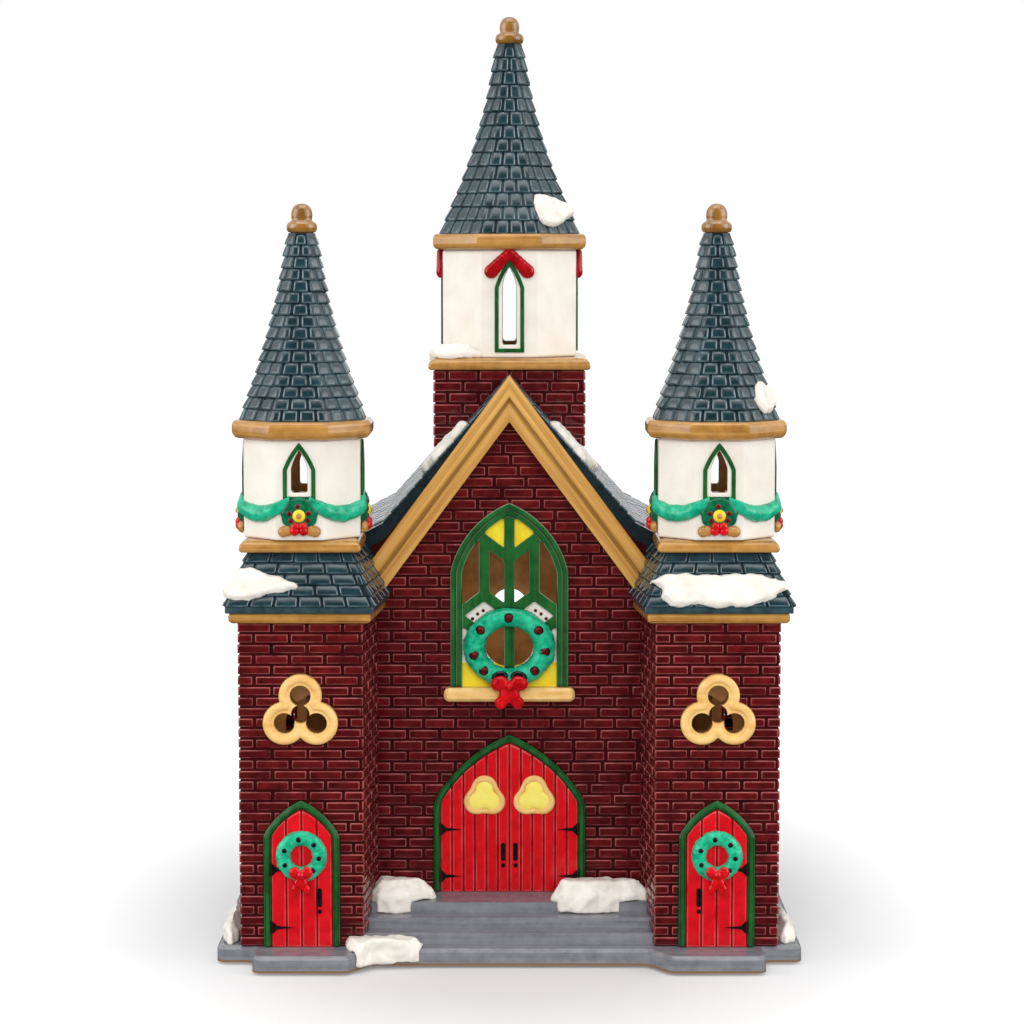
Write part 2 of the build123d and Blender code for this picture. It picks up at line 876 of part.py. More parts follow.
# Nave roof, open under the belfry, and the flatter aisle roofs
nave_roof_profile = [
    (roof_kink_half, kink_z - roof_drop),
    (roof_kink_half, kink_z),
    (0, ridge_z),
    (-roof_kink_half, kink_z),
    (-roof_kink_half, kink_z - roof_drop),
    (0, ridge_z - roof_drop),
]
with BuildPart() as nave_roof:
    with BuildSketch(facing_front(0, nave_front_y, 0)):
        with BuildLine():
            Polyline(*nave_roof_profile, close=True)
        make_face()
    extrude(amount=-(roof_back_y - nave_front_y))
    with BuildSketch(level(0, belfry_y, kink_z - roof_drop)):
        Rectangle(belfry_width - 2 * ceramic_wall, belfry_width - 2 * ceramic_wall)
    extrude(amount=ridge_z - kink_z + roof_drop, mode=Mode.SUBTRACT)
    for envelope in envelopes.values():
        add(envelope, mode=Mode.SUBTRACT)
finish(nave_roof, "nave_roof")

for name, side in sides.items():
    aisle_profile = [
        (roof_kink_half, kink_z),
        (aisle_half_width, aisle_edge_z),
        (aisle_half_width, aisle_edge_z - roof_drop),
        (roof_kink_half, kink_z - roof_drop),
    ]
    with BuildPart() as aisle_roof:
        with BuildSketch(facing_front(0, nave_front_y, 0)):
            with BuildLine():
                Polyline(*[(side * x, z) for x, z in aisle_profile], close=True)
            make_face()
        extrude(amount=-(roof_back_y - nave_front_y))
        add(envelopes[name], mode=Mode.SUBTRACT)
    finish(aisle_roof, f"{name}_aisle_roof")


def gable_band(top_share, bottom_share):
    """A band of the gable's raking moulding, between two shares of its drop."""
    corners = []
    for share in (top_share, bottom_share):
        end_x = trim_end_half - trim_end_cut * share
        end_z = trim_apex_z - share * trim_drop - end_x * math.tan(math.radians(trim_pitch))
        corners.append((end_x, end_z))
    peak = (0, trim_apex_z - top_share * trim_drop)
    notch = (0, trim_apex_z - bottom_share * trim_drop)
    left = [(-x, z) for x, z in corners]
    with BuildSketch() as band:
        with BuildLine():
            Polyline(peak, *corners, notch, *reversed(left), close=True)
        make_face()
    return band.sketch


gable_steps = {
    (0, trim_groove_top): trim_depth,
    (trim_groove_top, trim_groove_bottom): trim_depth - 2 * trim_step,
    (trim_groove_bottom, 1): trim_depth - trim_step,
}
with BuildPart() as gable_trim:
    for (top_share, bottom_share), reach in gable_steps.items():
        with BuildSketch(facing_front(0, nave_front_y, 0)):
            add(gable_band(top_share, bottom_share))
        extrude(amount=reach)
    for envelope in envelopes.values():
        add(envelope, mode=Mode.SUBTRACT)
finish(gable_trim, "gable_trim")

# Belfry: a brick stump on the ridge, then ledge, drum, cornice, spire and finial
with BuildPart() as belfry_walls:
    with BuildSketch(level(0, belfry_y, kink_z)):
        Rectangle(belfry_width, belfry_width)
        Rectangle(
            belfry_width - 2 * ceramic_wall, belfry_width - 2 * ceramic_wall, mode=Mode.SUBTRACT
        )
    extrude(amount=belfry_z - kink_z)
    with BuildSketch(facing_front(0, nave_front_y, 0)):
        add(roof_outline(0, base_top, aisle_half_width))
    extrude(amount=-(roof_back_y - nave_front_y), mode=Mode.SUBTRACT)
finish(belfry_walls, "belfry_walls")

belfry_drum_z = belfry_z + belfry_ledge_height
belfry_cornice_z = belfry_drum_z + belfry_drum_height
belfry_spire_z = belfry_cornice_z + belfry_cornice_height
belfry_ledge = square_ledge(
    0, belfry_y, belfry_z, belfry_ledge_width, belfry_ledge_height, light_shaft, "belfry_ledge"
)
belfry_drum = drum(
    0, belfry_y, belfry_drum_z, belfry_drum_width, belfry_drum_height, belfry_lancet, "belfry_drum"
)
octagonal_cornice(
    0,
    belfry_y,
    belfry_cornice_z,
    belfry_cornice_width,
    belfry_cornice_height,
    light_shaft - 2 * ceramic_wall,
    "belfry_cornice",
)
belfry_spire = spire(
    0,
    belfry_y,
    belfry_spire_z,
    belfry_spire_width,
    belfry_spire_height,
    belfry_spire_flare,
    belfry_spire_courses,
    "belfry_spire",
)
finial(0, belfry_y, belfry_spire_z + belfry_spire_height, "belfry_finial")

with BuildPart() as belfry_window_trims:
    add(lancet_trims(0, belfry_y, belfry_drum_z, belfry_drum_width, belfry_lancet))
finish(belfry_window_trims, "belfry_window_trims")

with BuildPart() as belfry_bows:
    for turn in (0, 90, 180, 270):
        with BuildSketch(facing_out(0, belfry_y, belfry_cornice_z, turn, belfry_drum_width / 2)):
            knot = (0, -drape_width / 4)
            ends = [(side * drape_half, -drape_drop) for side in sides.values()]
            with BuildLine():
                Polyline(ends[0], knot, ends[1])
            trace(line_width=drape_width)
            with Locations(*ends):
                RegularPolygon(drape_width / 2, drape_facets)
            Rectangle(
                4 * drape_half, 4 * drape_drop, align=(Align.CENTER, Align.MAX), mode=Mode.INTERSECT
            )
        extrude(amount=drape_depth)
    add(belfry_window_trims.part, mode=Mode.SUBTRACT)
finish(belfry_bows, "belfry_bows")

# Great window: a two-step frame with forked mullions, open between the forks, and its trimmings
wreath_rise = wreath_height / 2 + fit_gap
wreath_z = window_z + wreath_rise
wreath_y = nave_front_y - mullion_depth
window_half = window_width / 2
frame_step = (window_frame_depth + mullion_depth) / 2
fork_meet = fork_high + fork_slope * side_mullion_x
fork_side = fork_low - fork_slope * (window_half - side_mullion_x)
fork_inner = fork_low - fork_slope * side_mullion_x
fork_foot = fork_under + fork_slope * (window_half - side_mullion_x)
with BuildPart() as window_tracery:
    for step, reach in ((window_frame, frame_step), (window_frame / 2, window_frame_depth)):
        with BuildSketch(facing_front(0, nave_front_y, window_z)):
            add(pointed_arch(*window_arch))
            add(pointed_arch(*window_arch, step), mode=Mode.SUBTRACT)
        extrude(amount=reach)
    with BuildSketch(facing_front(0, nave_front_y, window_z)):
        with Locations((0, (window_jamb + window_rise) / 2)):
            Rectangle(mullion_width, window_jamb + window_rise)
        for side in sides.values():
            fork = (side * side_mullion_x, fork_low)
            bars = (
                (fork, (side * side_mullion_x, fork_meet)),
                (fork, (side * window_half, fork_side)),
                (fork, (0, fork_inner)),
                ((side * side_mullion_x, fork_under), (side * window_half, fork_foot)),
                ((0, fork_high), (side * window_half, fork_high + fork_slope * window_half)),
            )
            for start, end in bars:
                with BuildLine():
                    Line(start, end)
                trace(line_width=side_mullion_width)
        add(pointed_arch(*window_arch, window_frame * mullion_bed), mode=Mode.INTERSECT)
    extrude(amount=mullion_depth)
finish(window_tracery, "window_tracery")

with BuildPart() as window_panes:
    with BuildSketch(facing_front(0, nave_front_y, window_z)):
        add(pointed_arch(*window_arch, window_frame))
        add(oval(wreath_width, wreath_height, wreath_hole, wreath_rise), mode=Mode.SUBTRACT)
        for side in sides.values():
            lights = [
                (0, fork_high),
                (side * window_half, fork_high + fork_slope * window_half),
                (side * window_half, fork_side),
                (side * side_mullion_x, fork_low),
                (0, fork_inner),
            ]
            with BuildLine():
                Polyline(*lights, close=True)
            make_face(mode=Mode.SUBTRACT)
    extrude(amount=-pane_thickness)
finish(window_panes, "window_panes")

with BuildPart() as window_sill:
    with BuildSketch(facing_front(0, nave_front_y, window_z - sill_height / 2)):
        RectangleRounded(sill_width, sill_height, sill_round)
    extrude(amount=sill_depth)
    chamfer(window_sill.faces().sort_by(Axis.Y)[0].edges(), length=sill_bevel)
finish(window_sill, "window_sill")

with BuildPart() as window_wreath:
    add(wreath(0, wreath_y, wreath_z, wreath_width, wreath_height, wreath_hole, wreath_depth))
finish(window_wreath, "window_wreath")

with BuildPart() as window_bow:
    add(bow(0, wreath_y - wreath_depth, window_z + bow_rise, bow_width, bow_height, bow_thickness))
finish(window_bow, "window_bow")


def door_frame_part(x, y, z, width, jamb, rise):
    """A pointed door frame standing proud of its wall."""
    with BuildPart() as frame:
        with BuildSketch(facing_front(x, y, z)):
            add(pointed_arch(width, jamb, rise, arch_bulge))
            add(pointed_arch(width, jamb, rise, arch_bulge, door_frame), mode=Mode.SUBTRACT)
        extrude(amount=leaf_thickness)
        with BuildSketch(facing_front(x, y - leaf_thickness, z)):
            add(pointed_arch(width, jamb, rise, arch_bulge, door_frame_step))
            add(pointed_arch(width, jamb, rise, arch_bulge, door_frame - door_frame_step), mode=Mode.SUBTRACT)
        extrude(amount=door_frame_depth - leaf_thickness)
    return frame.part


def plank_door(x, y, z, width, jamb, rise):
    """A moulded door of upright planks inside its frame."""
    planks = round((width - 2 * door_frame) / plank_width / 2) * 2
    pitch = (width - 2 * door_frame) / planks
    with BuildPart() as leaf:
        with BuildSketch(facing_front(x, y, z)):
            add(pointed_arch(width, jamb, rise, arch_bulge, door_frame))
        extrude(amount=leaf_thickness)
        with BuildSketch(facing_front(x, y - leaf_thickness, z)):
            for seam in range(1, planks):
                with Locations((seam * pitch - planks * pitch / 2, 0)):
                    Rectangle(plank_groove, 4 * (jamb + rise))
        extrude(amount=-leaf_thickness / 2, mode=Mode.SUBTRACT)
    return leaf.part


def ironwork(x, y, z, hinge_x, pull_x, hinge_heights, pull_height):
    """Two strap hinges, a pull and a keyhole plate, flat on a door."""
    inward = -math.copysign(1, hinge_x - pull_x)
    with BuildPart() as irons:
        for height in hinge_heights:
            with BuildSketch(facing_front(x, y, z + height)):
                with BuildLine():
                    Polyline(
                        (hinge_x, iron_strap_width / 2),
                        (hinge_x + inward * iron_strap, 0),
                        (hinge_x, -iron_strap_width / 2),
                        close=True,
                    )
                make_face()
                with BuildLine():
                    Polyline(
                        (hinge_x, iron_plate / 2),
                        (hinge_x + inward * iron_strap_width, iron_plate / 6),
                        (hinge_x + inward * iron_strap_width, -iron_plate / 6),
                        (hinge_x, -iron_plate / 2),
                        close=True,
                    )
                make_face()
            extrude(amount=iron_thickness)
        with BuildSketch(facing_front(x, y, z + pull_height)):
            with Locations((pull_x, 0)):
                RectangleRounded(iron_strap_width, iron_pull, iron_pull_round)
            with Locations((pull_x, -keyhole_drop)):
                RegularPolygon(iron_strap_width / 2, keyhole_facets)
        extrude(amount=iron_thickness)
    return irons.part


# Main doors in the nave front and the small doors in the towers
main_door = (0, nave_front_y, landing_z, main_door_width, main_door_jamb, main_door_rise)
with BuildPart() as main_door_frame:
    add(door_frame_part(*main_door))
finish(main_door_frame, "main_door_frame")
with BuildPart() as main_doors:
    add(plank_door(*main_door))
finish(main_doors, "main_doors")
main_leaf_y = nave_front_y - leaf_thickness
with BuildPart() as main_door_trefoils:
    for side in sides.values():
        with BuildSketch(
            facing_front(side * door_trefoil_x, main_leaf_y, landing_z + door_trefoil_above)
        ):
            add(trefoil(door_trefoil_lobe, door_trefoil_spread))
        extrude(amount=iron_thickness)
finish(main_door_trefoils, "main_door_trefoils")

for name, side in sides.items():
    side_door_place = (side * tower_center_x, tower_front_y, base_top)
    side_door_sizes = (side_door_width, side_door_jamb, side_door_rise)
    with BuildPart() as side_door_frame:
        add(door_frame_part(*side_door_place, *side_door_sizes))
    finish(side_door_frame, f"{name}_door_frame")
    with BuildPart() as side_door:
        add(plank_door(*side_door_place, *side_door_sizes))
    finish(side_door, f"{name}_door")

side_leaf_y = tower_front_y - leaf_thickness
main_leaf_half = main_door_width / 2 - door_frame
side_leaf_half = side_door_width / 2 - door_frame
with BuildPart() as side_door_wreaths:
    for side in sides.values():
        add(
            wreath(
                side * tower_center_x,
                side_leaf_y,
                base_top + door_wreath_height,
                door_wreath_width,
                door_wreath_width,
                door_wreath_hole,
                door_wreath_depth,
            )
        )
finish(side_door_wreaths, "side_door_wreaths")

with BuildPart() as door_ironwork:
    for side in sides.values():
        add(
            ironwork(
                0,
                main_leaf_y,
                landing_z,
                side * (main_leaf_half - fit_gap),
                side * plank_width / 2,
                (main_door_jamb * low_hinge, main_door_jamb * high_hinge),
                main_door_jamb * pull_level,
            )
        )
        add(
            ironwork(
                side * tower_center_x,
                side_leaf_y,
                base_top,
                side * (side_leaf_half - fit_gap),
                -side * (side_leaf_half - plank_width),
                (side_door_jamb * low_hinge, side_door_jamb * high_hinge),
                side_door_jamb * pull_level,
            )
        )
    add(side_door_wreaths.part, mode=Mode.SUBTRACT)
finish(door_ironwork, "door_ironwork")

side_bow_z = base_top + door_wreath_height - door_bow_drop
with BuildPart() as side_door_bows:
    for side in sides.values():
        add(
            bow(
                side * tower_center_x,
                side_leaf_y - door_wreath_depth,
                side_bow_z,
                door_bow_width,
                door_bow_height,
                door_bow_thickness,
            )
        )
finish(side_door_bows, "side_door_bows")

with BuildPart() as tower_trefoils:
    for side in sides.values():
        with BuildSketch(
            facing_front(side * tower_center_x, tower_front_y, base_top + trefoil_height)
        ):
            add(trefoil(trefoil_lobe, trefoil_spread))
            add(trefoil(trefoil_hole, trefoil_spread), mode=Mode.SUBTRACT)
        extrude(amount=trefoil_depth)
finish(tower_trefoils, "tower_trefoils")

# Snow on the roofs, each drift seated on the slates under it
skirt_lean = lean(skirt_grow(0) - skirt_grow(1), skirt_height - skirt_lip)
roof_snow_x = roof_kink_half / 2
roof_snow_z = ridge_z - roof_snow_x * roof_slope
roof_snow_y = (nave_front_y + belfry_y - belfry_width / 2) / 2
roof_snow_length = belfry_y - belfry_width / 2 - nave_front_y


def skirt_slope(x, share):
    """A plane on the front slope of a skirt roof, at a share of its height."""
    rise = share * skirt_height - skirt_lip
    reach = tower_width / 2 + skirt_overhang - rise * math.tan(math.radians(skirt_lean))
    return leaning(x, tower_center_y, skirt_z + share * skirt_height, 0, reach, skirt_lean)


with BuildPart() as roof_snow:
    add(
        snow_drift(
            skirt_slope(tower_center_x, 0.38),
            (tower_width * 1.18, skirt_height * 0.66, snow_depth),
            (0.6, 4, 0),
            snow_depth,
            [envelopes["right"]],
        )
    )
    add(
        snow_drift(
            skirt_slope(-tower_center_x - tower_width * 0.33, 0.46),
            (tower_width * 0.68, skirt_height * 0.86, snow_depth),
            (2.1, 2.6, 0.72),
            snow_depth,
            [envelopes["left"]],
        )
    )
    add(
        snow_drift(
            leaning(
                0,
                belfry_y,
                belfry_spire_z + spire_snow_share * belfry_spire_height,
                45,
                belfry_spire_width * 0.43,
                spire_snow_lean,
            ),
            (belfry_spire_width * 0.44, belfry_spire_height * 0.25, snow_depth),
            (1.2, 2.4, 0.4),
            snow_depth,
            [belfry_spire],
        )
    )
    add(
        snow_drift(
            leaning(
                tower_center_x,
                tower_center_y,
                spire_z + spire_snow_share * turret_spire_height,
                60,
                turret_spire_width * 0.43,
                spire_snow_lean,
            ),
            (turret_spire_width * 0.34, turret_spire_height * 0.25, snow_depth),
            (2.8, 2.2, 0.3),
            snow_depth,
            [turret_spire],
        )
    )
    add(
        snow_drift(
            level(-belfry_ledge_width / 3, belfry_y - belfry_drum_width / 2, belfry_drum_z),
            (belfry_ledge_width * 0.36, belfry_ledge_width - belfry_drum_width, snow_depth * 2),
            (0.3, 2.4, 0.5),
            belfry_ledge_height * 0.6,
            [belfry_ledge, belfry_drum],
        )
    )
    for turn in (-90, 90):
        add(
            snow_drift(
                leaning(0, roof_snow_y, roof_snow_z, turn, roof_snow_x, 90 - roof_pitch),
                (roof_snow_length * 0.9, roof_kink_half * 0.6, snow_depth),
                (turn / 60, 3, 0),
                snow_depth / 2,
                [nave_roof.part],
            )
        )
finish(roof_snow, "roof_snow")

# Snow on the ground: piles on the landing, a lap over the front edge and banks along the sides
bank_width = base_half - tower_center_x - tower_width / 2
bank_x = base_half - bank_width / 2
pile_width = landing_depth * 1.1
pile_y = nave_front_y - door_frame_depth - fit_gap - pile_width / 2
lap_length = platform_width * 0.92
lap_width = platform_reach + step_tread
lap_place = level(-platform_inner_x + 1.5 * platform_chamfer, base_front_y + lap_width / 2, base_top)
ground_carriers = [base_plinth.part, envelopes["left"], envelopes["right"]]
with BuildPart() as front_lap:
    add(
        snow_drift(
            lap_place, (lap_length, lap_width, snow_pile / 2), (0.2, 2.6, 0.5), base_thickness * 0.8, []
        )
    )
    with BuildSketch(Plane.XY):
        add(offset(base_plan.sketch, amount=snow_lap))
    extrude(amount=landing_z, mode=Mode.INTERSECT)
    for carrier in ground_carriers:
        add(carrier, mode=Mode.SUBTRACT)
with BuildPart() as base_snow:
    add(front_lap.part)
    add(
        snow_drift(
            level(-stair_half * 0.76, pile_y, landing_z),
            (stair_half * 0.5, pile_width, snow_pile),
            (0.9, 2.6, 0.45),
            step_rise,
            ground_carriers,
        )
    )
    add(
        snow_drift(
            level(stair_half * 0.62, pile_y, landing_z),
            (stair_half * 0.76, pile_width, snow_pile * 0.9),
            (1.9, 3, 0.3),
            step_rise,
            ground_carriers,
        )
    )
    for name, side in sides.items():
        add(
            snow_drift(
                level(side * bank_x, tower_center_y, base_top),
                (bank_width * 0.98, tower_width, snow_pile * (1.3 if name == "left" else 0.8)),
                (1.5 + side, 2.6, 0),
                base_thickness * 0.4,
                ground_carriers,
            )
        )
finish(base_snow, "base_snow")

# Light unit: a tray let into the underside, a hinged battery door, a slide switch and a lamp
hinge_y = tray_y + cells_width / 2 - fit_gap - hinge_knuckle / 2
hinge_z = tray_z + hinge_knuckle / 2
door_front_y = tray_y - cells_width / 2
cell_z = tray_inner_z + cell_gap + cell_diameter / 2
slot_length = switch_knob_length + switch_travel + 2 * fit_gap
with BuildPart() as light_tray:
    with BuildSketch(level(0, tray_y, tray_z)):
        Rectangle(tray_length + 2 * tray_flange, tray_width + 2 * tray_flange)
    extrude(amount=tray_floor)
    with BuildSketch(level(0, tray_y, tray_z)):
        Rectangle(tray_length, tray_width)
    extrude(amount=tray_top_z - tray_z)
    with BuildSketch(level(cells_x, tray_y, tray_z)):
        Rectangle(cells_length, cells_width)
    extrude(amount=tray_roof_z - tray_z, mode=Mode.SUBTRACT)
    with BuildSketch(level(switch_x, tray_y, tray_inner_z)):
        Rectangle(switch_room, cells_width)
    extrude(amount=tray_roof_z - tray_inner_z, mode=Mode.SUBTRACT)
    with BuildSketch(level(switch_x, tray_y, tray_z)):
        Rectangle(switch_knob_width + 2 * fit_gap, slot_length)
    extrude(amount=tray_floor, mode=Mode.SUBTRACT)
    with BuildSketch(Plane.YZ.offset(cells_x - cells_length / 2 - hinge_socket)):
        with Locations((hinge_y, hinge_z)):
            Circle(hinge_pin / 2 + hinge_clearance)
    extrude(amount=cells_length + 2 * hinge_socket, mode=Mode.SUBTRACT)
    with BuildSketch(level(cells_x, door_front_y, tray_z + door_thickness)):
        Rectangle(cells_length, door_stop, align=(Align.CENTER, Align.MIN))
    extrude(amount=door_stop)
    with BuildSketch(level(cells_x, door_front_y, tray_z)):
        Rectangle(nail_notch, 2 * door_stop, align=(Align.CENTER, Align.MAX))
    extrude(amount=door_thickness, mode=Mode.SUBTRACT)
finish(light_tray, "light_tray")

with BuildPart() as battery_door:
    with BuildSketch(level(cells_x, door_front_y + fit_gap, tray_z)):
        Rectangle(
            cells_length - 2 * fit_gap,
            hinge_y - door_front_y - fit_gap,
            align=(Align.CENTER, Align.MIN),
        )
    extrude(amount=door_thickness)
    with BuildSketch(Plane.YZ.offset(cells_x - cells_length / 2 + fit_gap)):
        with Locations((hinge_y, hinge_z)):
            Circle(hinge_knuckle / 2)
    extrude(amount=cells_length - 2 * fit_gap)
    with BuildSketch(Plane.YZ.offset(cells_x - cells_length / 2 - hinge_journal)):
        with Locations((hinge_y, hinge_z)):
            Circle(hinge_pin / 2)
    extrude(amount=cells_length + 2 * hinge_journal)
finish(battery_door, "battery_door")

with BuildPart() as switch_knob:
    with BuildSketch(level(switch_x, tray_y - switch_travel / 2, tray_z - knob_proud)):
        Rectangle(switch_knob_width, switch_knob_length)
    extrude(amount=tray_floor + knob_proud + fit_gap)
    with BuildSketch(level(switch_x, tray_y - switch_travel / 2, tray_inner_z + fit_gap)):
        Rectangle(switch_knob_width * 2, slot_length + switch_travel)
    extrude(amount=tray_floor)
    with BuildSketch(level(switch_x, tray_y - switch_travel / 2, tray_z - knob_proud)):
        with GridLocations(0, switch_knob_length / 3, 1, 3):
            Rectangle(switch_knob_width, switch_knob_length / 9)
    extrude(amount=knob_proud / 2, mode=Mode.SUBTRACT)
finish(switch_knob, "switch_knob")

with BuildPart() as led_board:
    with BuildSketch(level(0, tray_y, tray_top_z)):
        RectangleRounded(board_length, board_width, board_thickness)
    extrude(amount=board_thickness)
finish(led_board, "led_board")

lamp_z = tray_top_z + board_thickness
with BuildPart() as led_lamp:
    with BuildSketch(facing_front(0, tray_y, lamp_z)):
        with BuildLine():
            Polyline(
                (0, 0),
                (lamp_rim / 2, 0),
                (lamp_rim / 2, lamp_rim_height),
                (lamp_diameter / 2, lamp_rim_height),
                (lamp_diameter / 2, lamp_height - lamp_diameter / 4),
                (lamp_diameter / 4, lamp_height),
                (0, lamp_height),
                close=True,
            )
        make_face()
    revolve(axis=Axis((0, tray_y, lamp_z), (0, 0, 1)))
finish(led_lamp, "led_lamp")

cell_pitch = cell_diameter + cell_gap
cell_rows = [tray_y + (row - (cell_count - 1) / 2) * cell_pitch for row in range(cell_count)]
with BuildPart() as battery_cells:
    for row, cell_y in enumerate(cell_rows):
        nub_end = 1 if row % 2 else -1
        with BuildSketch(Plane.YZ.offset(cells_x - nub_end * cell_length / 2)):
            with Locations((cell_y, cell_z)):
                Circle(cell_diameter / 2)
        extrude(amount=nub_end * (cell_length - cell_nub))
        with BuildSketch(Plane.YZ.offset(cells_x)):
            with Locations((cell_y, cell_z)):
                Circle(cell_nub_diameter / 2)
        extrude(amount=nub_end * cell_length / 2)
finish(battery_cells, "battery_cells")

with BuildPart() as battery_contacts:
    for end in sides.values():
        first = 0 if end < 0 else 1
        groups = [cell_rows[:first]] if first else []
        groups += [cell_rows[row : row + 2] for row in range(first, cell_count, 2)]
        for rows in groups:
            with BuildSketch(Plane.YZ.offset(cells_x + end * cells_length / 2)):
                with Locations((sum(rows) / len(rows), cell_z)):
                    Rectangle(rows[-1] - rows[0] + contact_height, contact_height)
            extrude(amount=-end * contact_leaf)
            with BuildSketch(Plane.YZ.offset(cells_x + end * cells_length / 2)):
                with Locations(*[(cell_y, cell_z) for cell_y in rows]):
                    RegularPolygon(contact_pad / 2, 6)
            extrude(amount=-end * contact_room)
finish(battery_contacts, "battery_contacts")
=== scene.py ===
import itertools
import math
import random

import bpy
from mathutils import Matrix, Vector, noise


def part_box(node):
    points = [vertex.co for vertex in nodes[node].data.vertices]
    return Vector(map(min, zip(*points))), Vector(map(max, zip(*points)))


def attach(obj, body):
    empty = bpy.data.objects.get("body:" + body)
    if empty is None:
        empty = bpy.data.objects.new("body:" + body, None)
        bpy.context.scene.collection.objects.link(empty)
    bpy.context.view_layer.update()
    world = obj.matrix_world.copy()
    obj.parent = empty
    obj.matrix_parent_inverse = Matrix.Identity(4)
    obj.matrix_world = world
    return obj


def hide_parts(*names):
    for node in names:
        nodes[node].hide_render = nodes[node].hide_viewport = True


# A glazed ceramic village church: the moulded bricks, slates, greenery, bows and snow
# are made here over the solids. Sizes are millimetres until a mesh is written.
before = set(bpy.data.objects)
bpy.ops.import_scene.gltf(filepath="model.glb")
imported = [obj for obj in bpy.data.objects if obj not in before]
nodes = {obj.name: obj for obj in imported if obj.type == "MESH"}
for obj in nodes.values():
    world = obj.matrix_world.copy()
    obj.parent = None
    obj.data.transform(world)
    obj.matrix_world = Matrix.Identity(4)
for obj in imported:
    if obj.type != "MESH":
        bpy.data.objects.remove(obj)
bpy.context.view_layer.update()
scene = bpy.context.scene

MM = 0.001
UP = Vector((0, 0, 1))
EAST = Vector((1, 0, 0))
BACK = Vector((0, 1, 0))
FRONT = Vector((0, -1, 0))
SIDES = {"left": -1, "right": 1}
dice = random.Random(24)


def box(node):
    """Lowest and highest corner of a solid, in millimetres."""
    low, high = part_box(node)
    return low / MM, high / MM


def vertices(node):
    """A solid's points, in millimetres."""
    return [v.co / MM for v in nodes[node].data.vertices]


def edge_height(node, x):
    """Height of a roof's top edge at its outermost x."""
    return max(p.z for p in vertices(node) if p.x > x - NEAR)


def both(*parts):
    """Names of the left and the right node of each part."""
    return [f"{name}_{part}" for name in SIDES for part in parts]


# Shares and sizes of the solids that their boxes don't tell
NEAR = 0.05
GABLE_PITCH = math.radians(53.35)
ROOF_DROP = 7.0
REAR_HOLE_HEIGHT = 115.4
REAR_HOLE_CLEAR = 8.6
ARCH_BULGE = 0.085
WINDOW_BULGE = 0.124
MAIN_JAMB = 0.572
SIDE_JAMB = 0.76
WINDOW_JAMB = 0.628
PLANK_WIDTH = 5.1
LOBE_REACH = 7.4
SKIRT_COURSES = 5
OCTANT = math.radians(22.5)
QUARTERS = (0, 90, 180, 270)

# Places read from the solids
tower_low, tower_high = box("right_tower_walls")
base_top = tower_low.z
eave_z = tower_high.z
tower_front_y = tower_low.y
tower_back_y = tower_high.y
drum_low, drum_high = box("right_turret_drum")
tower_x = (drum_low.x + drum_high.x) / 2
tower_y = (drum_low.y + drum_high.y) / 2
turret_half = (drum_high.x - drum_low.x) / 2
tower_outer_x = tower_high.x
tower_half = tower_outer_x - tower_x
tower_inner_x = tower_x - tower_half
nave_low, nave_high = box("nave_walls")
nave_front_y = nave_low.y
nave_back_y = nave_high.y
nave_half = nave_high.x
roof_high = box("nave_roof")[1]
ridge_z = roof_high.z
kink_x = roof_high.x
kink_z = edge_height("nave_roof", kink_x)
roof_slope = (ridge_z - kink_z) / kink_x
aisle_x = box("right_aisle_roof")[1].x
aisle_z = edge_height("right_aisle_roof", aisle_x)
belfry_low, belfry_high = box("belfry_walls")
belfry_half = belfry_high.x
belfry_y = (belfry_low.y + belfry_high.y) / 2
belfry_drum_low, belfry_drum_high = box("belfry_drum")
window_low, window_high = box("window_tracery")
skirt_high = box("right_tower_skirt")[1]
skirt_lip_z = edge_height("right_tower_skirt", skirt_high.x)
trefoil_low, trefoil_high = box("tower_trefoils")
lobe_radius = (trefoil_high.z - trefoil_low.z - 1.5 * LOBE_REACH) / 2
trefoil_z = trefoil_low.z + lobe_radius + LOBE_REACH / 2

# Moulded relief
BRICK_RISE = 0.75
BRICK_EDGE = 0.75
BRICK_GAP = 1.1
BRICK_WANDER = 0.12
BRICK_SPREAD = (0.85, 1.1)
COURSE_GAP = 0.75
TOWER_BRICK = (14.15, 4.27)
NAVE_BRICK = (13.2, 4.55)
SMALLEST_BRICK = 2.0
TREFOIL_CLEAR = 6.4
DOOR_LAP = 1.0
WINDOW_LAP = 2.0
TOWER_CLEAR = 4.2
TRIM_COVER = 10.0
RIDGE_COVER = 9.0
BED_RISE = 0.1
BED_EDGE = 0.2
SINK = 0.45
SLATE_RISE = 0.75
SLATE_GAP = 0.75
SLATE_WIDTH = 9.4
SLATE_COURSE = 5.0
SLATE_LEAN = 0.35
SLATE_SPREAD = (0.85, 1.2)
SLATE_DROP = 0.35
SLATE_SLIP = 0.05
SLATE_LENGTH = 0.97
SLATE_EDGES = (0.9, 0.16)
SMALLEST_SLATE = 1.6
COURSE_LIP = 0.7
TURRET_SLATE = 7.2
BELFRY_SLATE = 6.2
SPIRE_EDGES = (1.2, 1.2)
FACE_FLAT = 0.34
FACE_BEND = 0.16
ROOF_START = 1.0
BELFRY_CLEAR = 2.0


def put(name, data):
    """A new object in the scene."""
    made = bpy.data.objects.new(name, data)
    scene.collection.objects.link(made)
    return made


def circle(count):
    """Angles in even steps round a circle."""
    return [2 * math.pi * i / count for i in range(count)]


def compass(turn):
    """The ways out of a face and along it, at a turn about Z from the front."""
    return Vector((math.sin(turn), -math.cos(turn), 0)), Vector((math.cos(turn), math.sin(turn), 0))


